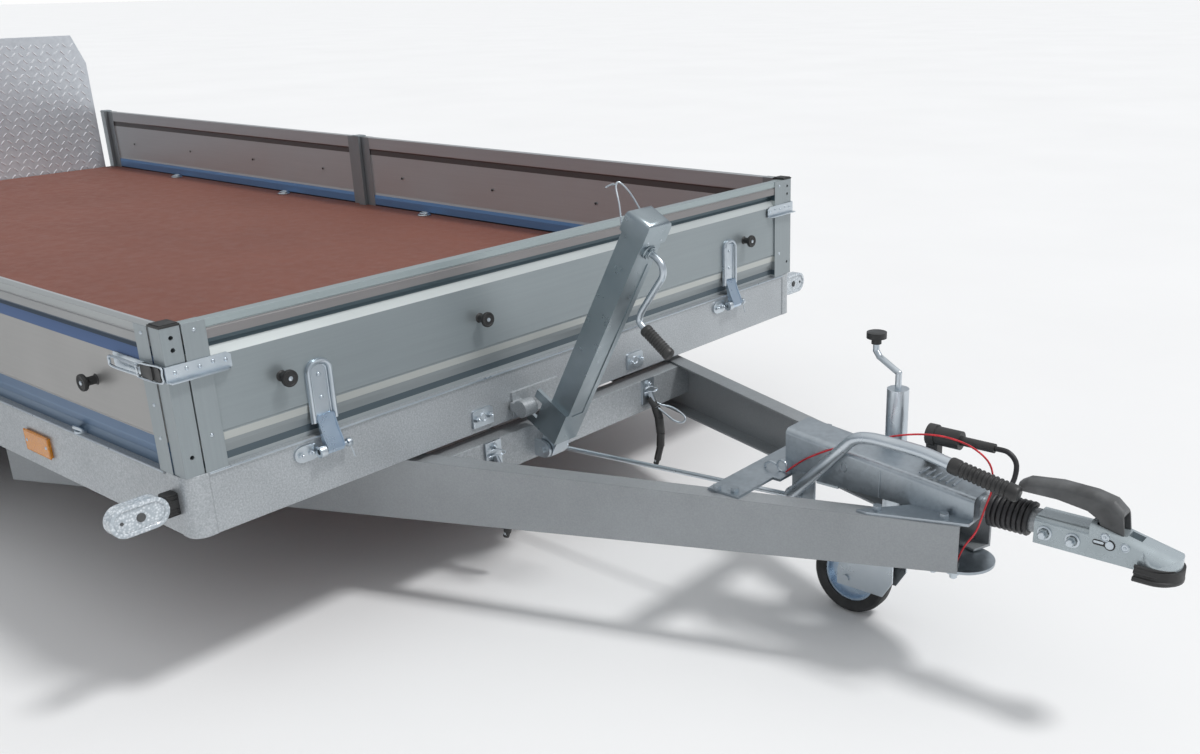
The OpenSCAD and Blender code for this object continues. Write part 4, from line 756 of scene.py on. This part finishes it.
def wall_rivets():
    """Rivets of the walls, latches and straps, and the bolts and pins of the hinges."""
    shell = Shell()
    corner_y, panel_ends = 974, (-66, MID_X + 46, MID_X - 46, 66 - BED_LEN)
    corner_z, panel_z, strap_z, latch_z = (285, 72), (284, 140, 72), (129, 78), (214, 217)
    latch_insets = (14, 38, 64, 92, 118)
    pin_end, pin_d = [(22, 41, -38), (23, 44, -52), (24, 47, -66)], 3
    for s in SIDES:
        for z in corner_z:
            shell.rivet((SKIN, s * corner_y, z), FRONT)
    for s in SIDES:
        for x in panel_ends:
            for z in panel_z:
                shell.rivet((x, s * (HALF_W + SKIN), z), (0, s, 0))
        for k, inset in enumerate(latch_insets):
            shell.rivet((SKIN + LATCH_T, s * (HALF_W - inset), latch_z[k % 2]), FRONT, d=8, h=2.5)
    for y in STRAPS:
        for z in strap_z:
            shell.rivet((0.5, y, z), FRONT, d=10, h=3.5)
        shell.tube(placed(pin_end, y), pin_d)
        for dy in (-70, -46):
            shell.bolt((FOOT_T, y + dy, HINGE_Z), FRONT, d=11, h=5)
    shell.make("wall_rivets", ZINC, "bed", "zinc")


def cover_knobs(shell, screws):
    """Turned rubber knobs with a narrow neck and a screw in their dished face."""
    profile = [(12, 0), (9, 3), (9, 18), (14, 22), (17, 23.5), (18, 25.5), (18, 30.5), (17, 32.4),
               (14.5, 32.4), (13, KNOB_FACE), (0, KNOB_FACE)]
    screw = [(5, 0), (5, 1.4), (3, 2.6), (0, 2.6)]
    sunk = 2
    places = [((-sunk, y, KNOB_Z), FRONT) for y in KNOBS]
    places += [((x, s * (HALF_W - sunk), KNOB_Z), (0, s, 0)) for s in SIDES for x in SIDE_KNOBS]
    for origin, axis in places:
        shell.lathe(profile, origin, axis, sides=24)
        screws.lathe(screw, Vector(origin) + Vector(axis) * KNOB_FACE, axis, sides=10)


def post_cap(shell, x, s):
    """A stepped cap on the post whose front face is at x."""
    step, top = WALL_H + 4, WALL_H + 6
    for low, high, grow in ((WALL_H, step, 1), (step, top, -2)):
        outline = rectangle(x - POST_W - grow, s * (HALF_W - POST_W - grow), x + grow, s * (HALF_W + grow))
        shell.prism(outline, (0, 0, low), FRONT, LEFT, high - low)


def lamp_arm(shell, s):
    """The rubber arm of a front lamp, with ribs on its front."""
    low, tall, rib_d = -83, 46, 3
    arm = [(-66, 1042), (-40, 1042), (-40, 1066), (-44, 1070), (-62, 1070), (-66, 1066)]
    rib = [(-40, 1043), (-39.5, 1055), (-40, 1066)]
    shell.prism([(x, s * y) for x, y in arm], (0, 0, low), FRONT, LEFT, tall)
    for z in (-78, -70, -50, -42):
        shell.tube([(x, s * y, z) for x, y in rib], rib_d, sides=6, steps=2)


def rubber_fittings():
    """Cover knobs, caps on the posts, plugs in the panels and the lamps' arms."""
    shell, screws, plain, plugs = Shell(), Shell(), Shell(), Shell()
    plug_x, plug_pitch, plug_count = -279, 539.4, 8
    cover_knobs(shell, screws)
    for s in SIDES:
        post_cap(shell, 0, s)
        for x in (MID_X + POST_W / 2, POST_W - BED_LEN):
            post_cap(plain, x, s)
        for k in range(plug_count):
            plugs.rivet((plug_x - plug_pitch * k, s * (HALF_W - WALL_T), KNOB_Z), (0, -s, 0), d=10, h=2.5)
        lamp_arm(shell, s)
    shell.make("rubber_fittings_moulded", RUBBER, "bed", "rubber", ("rubber_fittings",))
    screws.make("knob_screws", ZINC, "bed", "zinc")
    plain.make("post_caps", ALU_Z, "bed", "aluminium")
    plugs.make("panel_plugs", RUBBER, "bed", "rubber")


def latch_levers():
    """Dark levers of the corner toggles, with a raised grip."""
    shell = Shell()
    cut_x, cut_z = 5, 4
    low, high = LEVER_LOW + cut_z, LEVER_TOP - cut_z
    for s in SIDES:
        for x0, x1, foot, rise in ((-78, -6, 4, 6), (-72, -30, 9, 4)):
            outline = [(x0, low), (x0 + cut_x, LEVER_LOW), (x1 - cut_x, LEVER_LOW), (x1, low), (x1, high),
                       (x1 - cut_x, LEVER_TOP), (x0 + cut_x, LEVER_TOP), (x0, high)]
            shell.prism(outline, (0, s * (HALF_W + foot), 0), FRONT, UP, -s * rise)
    shell.make("latch_levers", PLASTIC, "bed", "black_plastic")


# Lamps and reflectors
LAMP_Y, LAMP_Z = 1122, -60
BULB_X, BULB_Y, SMALL_BULB_Y = -40, 1120, 1158
REFLECTOR_X, REFLECTOR_Z = (-640, -3914), -70
TAIL_X, TAIL_Z, TAIL_HALF_H = -4289, -70, 38


def front_lamps():
    """Moulded rims round the front lamps, and their bulbs."""
    rim, bulbs = Shell(), Shell()
    rows = ((-42, 119, 63), (-38, 119, 63), (-37, 114, 58), (-37, 104, 48), (-39, 100, 44))
    bulb, small = [(9, 0), (9, 2), (7, 3.5), (0, 4)], [(3.4, 0), (3.4, 2), (0, 2.4)]
    for s in SIDES:
        verts = [(x, s * LAMP_Y + a, LAMP_Z + b) for x, w, h in rows for a, b in oval(w, h)]
        rim.add(verts, ring_faces(len(rows), len(verts) // len(rows)))
        bulbs.lathe(bulb, (BULB_X, s * BULB_Y, LAMP_Z), FRONT, sides=16)
        bulbs.lathe(small, (BULB_X, s * SMALL_BULB_Y, LAMP_Z), FRONT, sides=10)
    rim.make("lamp_rims", CLEAR, "bed", "clear_lamp")
    bulbs.make("lamp_bulbs", GREY, "bed", "black_plastic")


def reflector_trim():
    """Screws and raised edges of the side reflectors."""
    screws, edges = Shell(), Shell()
    half_w, half_h, edge_d, edge_y, screw_x, screw_y = 57, 24, 4, HALF_W + 6, 46, HALF_W + 8
    for s in SIDES:
        for x in REFLECTOR_X:
            for dx in (-screw_x, screw_x):
                screws.rivet((x + dx, s * screw_y, REFLECTOR_Z), (0, s, 0), d=8, h=2)
            corners = [(x + a, s * edge_y, REFLECTOR_Z + b)
                       for a, b in rectangle(-half_w, -half_h, half_w, half_h)]
            for i, k in ((0, 1), (3, 2), (0, 3), (1, 2)):
                edges.tube([corners[i], corners[k]], edge_d, sides=6, steps=1)
    screws.make("reflector_screws", ZINC, "bed", "zinc")
    edges.make("reflector_edges", AMBER, "bed", "amber")


def tail_lamp_trim():
    """Amber segments, dark surrounds and screws on the tail lamps."""
    amber, edge, screws = Shell(), Shell(), Shell()
    low, high, rim, segment_t = TAIL_Z - TAIL_HALF_H, TAIL_Z + TAIL_HALF_H, 5, 3
    frames = [(TAIL_X - 2, 3, rectangle(1046, low, 1086, high)),
              (TAIL_X - 2, 3, rectangle(1090, low, 1128, high)),
              (TAIL_X, 6, rectangle(1043, low - rim, 1167, high + rim))]
    for s in SIDES:
        amber.prism(rectangle(1132, low, 1162, high), (TAIL_X, 0, 0), (0, s, 0), UP, -segment_t * s)
        for x, d, outline in frames:
            edge.tube([(x, s * y, z) for y, z in outline + outline[:1]], d, sides=6, steps=1)
        for y in (1088, 1130):
            screws.rivet((TAIL_X, s * y, TAIL_Z), (-1, 0, 0), d=8, h=3)
    amber.make("tail_segments", AMBER, "bed", "amber")
    edge.make("tail_edges", PLASTIC, "bed", "black_plastic")
    screws.make("tail_screws", ZINC, "bed", "zinc")


# Deck and ramp
def lashing_rings():
    """Slightly wavy rings in the deck's lashing cups, each with a rivet."""
    shell = Shell()
    r, wire, z, swell, rivet_z = 17, 6, 26, 1.2, 23
    for s in SIDES:
        for x in LASHING_X:
            ring = [(x + r * math.cos(a), s * (LASHING_Y + r * math.sin(a)), z + swell * math.sin(3 * a))
                    for a in angles(12)]
            shell.tube(ring, wire, steps=2)
            shell.rivet((x, s * LASHING_Y, rivet_z), UP, d=14, h=4)
    shell.make("lashing_rings", ZINC, "bed", "zinc")


def tread_plate():
    """Raised bars on the side of the ramp that a load rolls over."""
    shell = Shell()
    face, pitch, sunk, rise = -BED_LEN - 5, 34, 0.2, 2.2
    half_w, tall, first_z, margin = 976, 677, 24, 20
    shoulder_z, shoulder_w, shoulder_h = 545, 54, 138
    foot = [(-15, 0), (-9, 3.4), (9, 3.4), (15, 0), (9, -3.4), (-9, -3.4)]
    top = [(-12, 0), (-8, 1.6), (8, 1.6), (12, 0), (8, -1.6), (-8, -1.6)]
    faces = ring_faces(2, len(foot)) + end_faces(2, len(foot))[1:]
    reach, c = int(half_w / pitch), math.sqrt(0.5)
    for row in range(int(tall / pitch)):
        z = first_z + row * pitch
        edge = half_w - margin - max(0, z - shoulder_z) * shoulder_w / shoulder_h
        for col in range(-reach, reach + 1):
            y = col * pitch + row % 2 * pitch / 2
            if abs(y) > edge:
                continue
            turn = 1 if (row + col) % 2 else -1
            verts = [(face + h, y + c * (a - b * turn), z + c * (a * turn + b))
                     for h, ring in ((-sunk, foot), (rise, top)) for a, b in ring]
            shell.add(verts, faces)
    shell.make("tread_bars", BARS, "ramp", "aluminium")


# Jack
JACK_AT = (55, -115, -215)
LEAN = math.radians(29.5)
JACK_FRONT = (math.cos(LEAN), 0, -math.sin(LEAN))
CRANK_U, CRANK_D = 638, 16
GRIP_FROM, GRIP_TO, GRIP_R = (104, 472), (194, 463), 15
BAIL_D = 4
RIB_SHARES = ((0.99, 0), (0.86, 0.25), (0.86, 0.45), (0.99, 0.7))


def in_jack(a, b, u):
    """A point a in front of the jack's axis, b to its left and u up along it."""
    x, y, z = JACK_AT
    return (x + a * math.cos(LEAN) + u * math.sin(LEAN), y + b, z - a * math.sin(LEAN) + u * math.cos(LEAN))


def ribbed_grip(name, start, end, r, ribs, body, node):
    """A moulded grip with finger ribs over most of its length."""
    start, end = Vector(start), Vector(end)
    long = (end - start).length
    step = long * 0.72 / ribs
    profile = [(0, 0), (r * 0.86, 0), (r * 0.95, 2), (r, 5), (r, long * 0.12)]
    for i in range(ribs):
        base = long * 0.14 + i * step
        profile += [(r * wide, base + step * along) for wide, along in RIB_SHARES]
    profile += [(r, long * 0.88), (r, long - 6), (r * 0.9, long - 2), (r * 0.7, long), (0, long)]
    shell = Shell()
    shell.lathe(profile, start, end - start)
    shell.make(name, PLASTIC, body, "black_plastic", (node,))


def jack_cap():
    """A rounded cap over the top of the jack's case, and the boss of its crank."""
    shell = Shell()
    levels = ((36, 40, 660), (36, 40, 700), (34, 38, 708), (29, 33, 713), (20, 24, 715))
    boss = [(0, 0), (19, 0), (19, 3), (17, 5), (13, 5), (13, 11), (11, 13), (0, 13)]
    verts = [in_jack(i, j, u) for a, b, u in levels for i, j in ((a, b), (-a, b), (-a, -b), (a, -b))]
    shell.add(verts, end_faces(len(levels), 4) + ring_faces(len(levels), 4))
    shell.lathe(boss, in_jack(31, 0, CRANK_U), JACK_FRONT)
    shell.make("jack_cap", CASE, "jack_outer", "zinc")


def jack_crank():
    """The crank as one bent bar, from its boss to its grip."""
    shell = Shell()
    bar = [(36, CRANK_U), (58, 639), (78, 633), (90, 614), (87, 580), (80, 524), (78, 494), (84, 477),
           GRIP_FROM]
    shell.tube([in_jack(a, 0, u) for a, u in bar], CRANK_D, sides=16, steps=6)
    shell.make("jack_crank_bent", ZINC, "jack_outer", "zinc", ("jack_crank",))


def jack_bail():
    """The wire bail over the jack's top, with its hook, and two rivets in the cap."""
    shell = Shell()
    bail = [in_jack(-30, -38, 662), (340, -142, 426), (324, -133, 464), (328, -124, 472), (345, -108, 446),
            in_jack(-24, 18, 688)]
    hook = [(325, -131, 467), (312, -132, 468), (294, -133, 460)]
    shell.tube(bail, BAIL_D, steps=6)
    shell.tube(hook, BAIL_D)
    for b in (-22, 22):
        shell.rivet(in_jack(34, b, 668), JACK_FRONT, d=8, h=3)
    shell.make("jack_bail", ZINC, "jack_outer", "zinc")


def jack_trim():
    start, end = (in_jack(a, 0, u) for a, u in (GRIP_FROM, GRIP_TO))
    ribbed_grip("jack_grip_ribbed", start, end, GRIP_R, 9, "jack_outer", "jack_grip")
    jack_cap()
    jack_crank()
    jack_bail()


# Drawbar and coupling
LOCK_Y = 290
RING_X, RING_Y = 721, -62
PLATE_BOLTS, PLATE_Y, PLATE_Z = (1090, 1136), 42, -262
LEVER_Y, LEVER_D, LEVER_GRIP_R = -72, 26, 17
LEVER = [(752, -186), (818, -114), (880, -46), (908, -19), (946, -8), (1008, -8), (1070, -11), (1129, -22)]
ROOF_X, ROOF_Z, ROOF_SLOPE = 722, -42.5, 0.1139
SEAM = [(960, 50, -145), (960, 50, -84)]
STAMP_X, STAMP_Y, STAMP_Z, STAMP_W, STAMP_H = 872, 50.4, -98, 14, 22
CHEEK_Y, HEAD_BOLTS, HEAD_BOLT_Z = 32, (1316, 1372), -134
HEAD_RIVETS = ((1433, -110), (1472, -121))
LOCK_X, SLOT_X, TAB_X, SLOT_Y, SLOT_Z = 1443, 1431, 1422, 31.6, -124
NOSE_X, LIP_X = 1525, 1495
# Height, radius and thickness of the beads round the bumper
BUMPER_BEADS = ((-171, 45, 11), (-158, 42.5, 8), (-147, 41, 7))


def lock_wires(shell, s):
    """A lock lever's spring, its pull loop and its bolt."""
    y, spring_d, loop_d = s * LOCK_Y, 4, 6
    spring = [(36, -20, -176), (40, -4, -171), (44, 12, -176), (46, 22, -184), (42, 12, -190), (38, -6, -186),
              (36, -22, -188)]
    loop = [(36, 8, -214), (66, 11, -224), (100, 16, -226), (134, 16, -236), (152, 12, -246), (146, 6, -258),
            (122, 2, -258), (90, 2, -244), (62, 3, -232), (38, 2, -222)]
    shell.tube(placed(spring, y), spring_d)
    shell.tube(placed(loop, y, s), loop_d)
    shell.bolt((31, y, -166), FRONT, d=14, h=6)


def drawbar_fasteners():
    """Lock wires, the breakaway cable's ring and hook, and bolts under the coupling's plates."""
    shell = Shell()
    for s in SIDES:
        lock_wires(shell, s)
    ring_r, ring_d, hook_d = 13, 4.5, 5
    hook = [(706, TUBE_Z), (690, -124), (676, -132), (676, -140)]
    shell.tube([(RING_X + a, RING_Y, TUBE_Z + b) for a, b in circle(ring_r)], ring_d, steps=2)
    shell.tube([(x, RING_Y, z) for x, z in hook], hook_d, steps=3)
    thread, nut = [(8, 0), (8, 20), (6, 22), (0, 22)], [(14, 0), (14, 11), (11, 12), (0, 12)]
    for s in SIDES:
        for x in PLATE_BOLTS:
            shell.lathe(thread, (x, s * PLATE_Y, PLATE_Z), DOWN, sides=10)
            shell.lathe(nut, (x, s * PLATE_Y, PLATE_Z), DOWN, sides=6)
    shell.make("drawbar_fasteners", ZINC, "chassis", "zinc")


def lock_blades():
    """Dark sleeves of the lock levers, widest near their top."""
    shell = Shell()
    spine = [(35, 0, -205), (52, 4, -232), (62, 5, -262), (68, 4, -306), (66, 3, -345), (55, 1, -388),
             (50, 0, -402)]
    widths = (22, 25, 25, 23, 20, 16)
    for s in SIDES:
        blade = placed(spine, s * LOCK_Y)
        for ends, wide in zip(zip(blade, blade[1:]), widths):
            shell.tube(ends, wide, sides=10, steps=2)
    shell.make("lock_blades", PLASTIC, "chassis", "black_plastic")


def drawbar_trim():
    start, end = (1128, LEVER_Y, -22), (1276, LEVER_Y, -50)
    ribbed_grip("handbrake_grip_ribbed", start, end, LEVER_GRIP_R, 11, "chassis", "handbrake_grip")
    drawbar_fasteners()
    lock_blades()


def handbrake_tube():
    """The lever as one smoothly bent tube on its pivot boss."""
    shell = Shell()
    path = [(x, LEVER_Y, z) for x, z in LEVER]
    boss = [(0, 0), (16, 0), (18, 2), (18, 17), (16, 19), (0, 19)]
    bolt = [(0, 0), (9, 0), (9, -6), (7, -8), (0, -8)]
    shell.tube(path, LEVER_D, sides=16, steps=6)
    shell.lathe(boss, path[0], LEFT)
    shell.lathe(bolt, path[0], LEFT, sides=6)
    shell.make("handbrake_tube", ZINC, "chassis", "zinc", ("handbrake_lever",))


def housing_trim():
    """Pressed beads, a seam and a stamped eye on the overrun housing."""
    shell = Shell()
    bead_x, bead_pitch, bead_count, bead_d, seam_d, stamp_d = 1040, 15, 6, 6, 4, 3
    for k in range(bead_count):
        x = bead_x + bead_pitch * k
        z = ROOF_Z - ROOF_SLOPE * (x - ROOF_X)
        shell.tube([(x, -26, z), (x, -8, z + 1), (x, 12, z)], bead_d, steps=2)
    stamp = [(STAMP_X + STAMP_W * a, STAMP_Y, STAMP_Z + STAMP_H * b) for a, b in circle(0.5)]
    for s in SIDES:
        shell.tube(placed(SEAM, 0, s), seam_d, steps=1)
        shell.tube(placed(stamp, 0, s), stamp_d, sides=6, steps=2)
    shell.make("housing_beads", HOUSING, "chassis", "zinc")


def coupling_trim():
    """Washers, rivets and the lock's slot on the head's cheeks, with the slot and the bore round the lock as
    thin dark sheets of painted shade, and three beads round the rubber lip.
    """
    bright, dark, lip = Shell(), Shell(), Shell()
    washer = [(15, -0.5), (15, 1.6), (13.5, 2.4), (11, 2.4)]
    bolt_end = [(7.5, 8), (7.5, 17), (6, 18.5), (0, 18.5)]
    rivet = [(9, -0.5), (9, 1.5), (7, 2.6), (6.2, 1.4), (3, 1.4), (2, 3), (0, 3.4)]
    bore, cylinder = [(11, 0), (11, 0.9), (0, 0.9)], [(8.5, 0), (8.5, 2), (7.5, 3), (0, 3)]
    for s in SIDES:
        out, along = (0, s, 0), (s, 0, 0)
        for x in HEAD_BOLTS:
            bright.lathe(washer, (x, s * CHEEK_Y, HEAD_BOLT_Z), out, sides=24)
            bright.lathe(bolt_end, (x, s * CHEEK_Y, HEAD_BOLT_Z), out, sides=12)
        for x, z in HEAD_RIVETS:
            bright.lathe(rivet, (x, s * CHEEK_Y, z), out, sides=16)
        lock = (LOCK_X, s * SLOT_Y, SLOT_Z)
        # The slot and the bore are thin dark sheets: painted shade where the cheek is open
        dark.prism(oval(42, 11), (SLOT_X, s * SLOT_Y, SLOT_Z), along, UP, -0.8)
        dark.lathe(bore, lock, out)
        bright.lathe(cylinder, lock, out)
        bright.prism(oval(20, 5), (TAB_X, s * SLOT_Y, SLOT_Z + 1), along, UP, -1.6)
    bright.make("coupling_rivets", ZINC, "chassis", "zinc")
    dark.make("coupling_slot_shade", RUBBER, "chassis", "rubber")
    for z, r, d in BUMPER_BEADS:
        nose = [(NOSE_X + r * math.cos(a), r * math.sin(a), z) for a in angles(12, -math.pi / 2, math.pi)]
        lip.tube([(LIP_X, -r, z), *nose, (LIP_X, r, z)], d, sides=10, steps=2)
    lip.make("bumper_beads", PLASTIC, "chassis", "rubber")


# Road wheels
WHEELS = (("fl", -2010, 1), ("fr", -2010, -1), ("rl", -2690, 1), ("rr", -2690, -1))
WHEEL_Y, WHEEL_Z = 1162.5, -252.5
# Half of the tyre's section, as (radius, offset) points from the bead to the middle rib
TYRE_HALF = [
    (176.5, 70.5), (185, 90.7), (196, 94.6), (198, 96.2), (207, 97.2), (222, 96.6), (236, 94), (252, 85),
    (259.5, 74), (262.3, 62), (262.4, 47), (255.5, 45), (255.5, 38), (262.4, 36), (262.4, 15), (255.5, 13),
    (255.5, 6), (262.5, 4),
]
TYRE_STEPS, CUT_EVERY, CUT_DEPTH = 80, 4, 6.5
TREAD_R, BLOCK_R = 250, 255
BLOCK_IN, BLOCK_OUT = 52, 80
SLANT, TYRE_HALF_W = 0.3, 97


def tyre(node, x, side, body):
    """A road tyre: shoulders, grooves round it and slanted cuts across its shoulder blocks."""
    profile = TYRE_HALF + [(r, -y) for r, y in reversed(TYRE_HALF)]
    rows, step = len(profile), FULL_TURN / TYRE_STEPS
    verts, faces = [], []
    for k in range(TYRE_STEPS):
        n = (k + 1) % TYRE_STEPS
        for r, y in profile:
            block = BLOCK_IN < abs(y) < BLOCK_OUT and r > BLOCK_R
            depth = CUT_DEPTH if block and k % CUT_EVERY == 0 else 0
            a = k * step + (SLANT * y / TYRE_HALF_W * step if r > TREAD_R else 0)
            low = r - depth
            verts.append((x + low * math.cos(a), side * WHEEL_Y + y, WHEEL_Z + low * math.sin(a)))
        faces += [(k * rows + i, k * rows + i + 1, n * rows + i + 1, n * rows + i) for i in range(rows - 1)]
    shell = Shell()
    shell.add(verts, faces)
    shell.make(node + "_tread", TYRE, body, "tyre", (node,))


def wheel_trim():
    """Tyres and valves of the road wheels."""
    stem = [(4, 0), (4, 16), (3, 18), (3, 26), (0, 27)]
    valve_r, valve_y = 146, 44
    for tag, x, side in WHEELS:
        tyre("tyre_" + tag, x, side, "wheel_" + tag)
        shell = Shell()
        shell.lathe(stem, (x + valve_r, side * (WHEEL_Y + valve_y), WHEEL_Z), (-0.25, side, 0), sides=10)
        shell.make("valve_" + tag, RUBBER, "wheel_" + tag, "rubber")


wall_fittings()
strap_tongues()
wall_caps()
rail_highlight_beads()
wall_rivets()
rubber_fittings()
latch_levers()
front_lamps()
reflector_trim()
lashing_rings()
tread_plate()
jack_trim()
drawbar_trim()
handbrake_tube()
housing_trim()
coupling_trim()
tail_lamp_trim()
wheel_trim()

# Stage
FLOOR_SIZE = 400
FLOOR_GREY = (0.82, 0.82, 0.82)
SUN_FROM, SUN_ENERGY, SUN_ANGLE = (0.55, 0.22, 0.95), 1.7, math.radians(10)
HORIZON, OVERHEAD, OVERHEAD_AT = (0.36, 0.40, 0.46, 1), (0.98, 0.99, 1.0, 1), 0.75
DOME_STRENGTH = 0.78


def make_floor():
    bpy.ops.mesh.primitive_plane_add(size=FLOOR_SIZE)
    floor = bpy.context.object
    floor.name = "floor"
    look = Look("floor_paint", FLOOR_GREY, 0.8)
    look.color(look.uneven(look.noise(0.6, 4), 0.81, 0.84))
    floor.data.materials.append(look.mat)


def make_sky():
    """A studio dome, brighter overhead, that the camera itself sees as plain white."""
    world = bpy.data.worlds.new("studio")
    world.use_nodes = True
    scene.world = world
    nodes, link = world.node_tree.nodes, world.node_tree.links.new
    split, band = nodes.new("ShaderNodeSeparateXYZ"), nodes.new("ShaderNodeValToRGB")
    link(nodes.new("ShaderNodeTexCoord").outputs["Generated"], split.inputs[0])
    link(split.outputs["Z"], band.inputs[0])
    low, high = band.color_ramp.elements
    low.color = HORIZON
    high.position, high.color = OVERHEAD_AT, OVERHEAD
    dome, white = nodes["Background"], nodes.new("ShaderNodeBackground")
    link(band.outputs[0], dome.inputs["Color"])
    dome.inputs["Strength"].default_value = DOME_STRENGTH
    white.inputs["Color"].default_value = (1, 1, 1, 1)
    choose = nodes.new("ShaderNodeMixShader")
    link(nodes.new("ShaderNodeLightPath").outputs["Is Camera Ray"], choose.inputs[0])
    link(dome.outputs[0], choose.inputs[1])
    link(white.outputs[0], choose.inputs[2])
    link(choose.outputs[0], nodes["World Output"].inputs["Surface"])


def make_sun():
    data = bpy.data.lights.new("key", "SUN")
    data.energy = SUN_ENERGY
    data.angle = SUN_ANGLE
    sun = bpy.data.objects.new("key", data)
    sun.rotation_euler = Vector(SUN_FROM).to_track_quat("Z", "Y").to_euler()
    show(sun)


make_floor()
make_sky()
make_sun()
scene.view_settings.view_transform = "Standard"
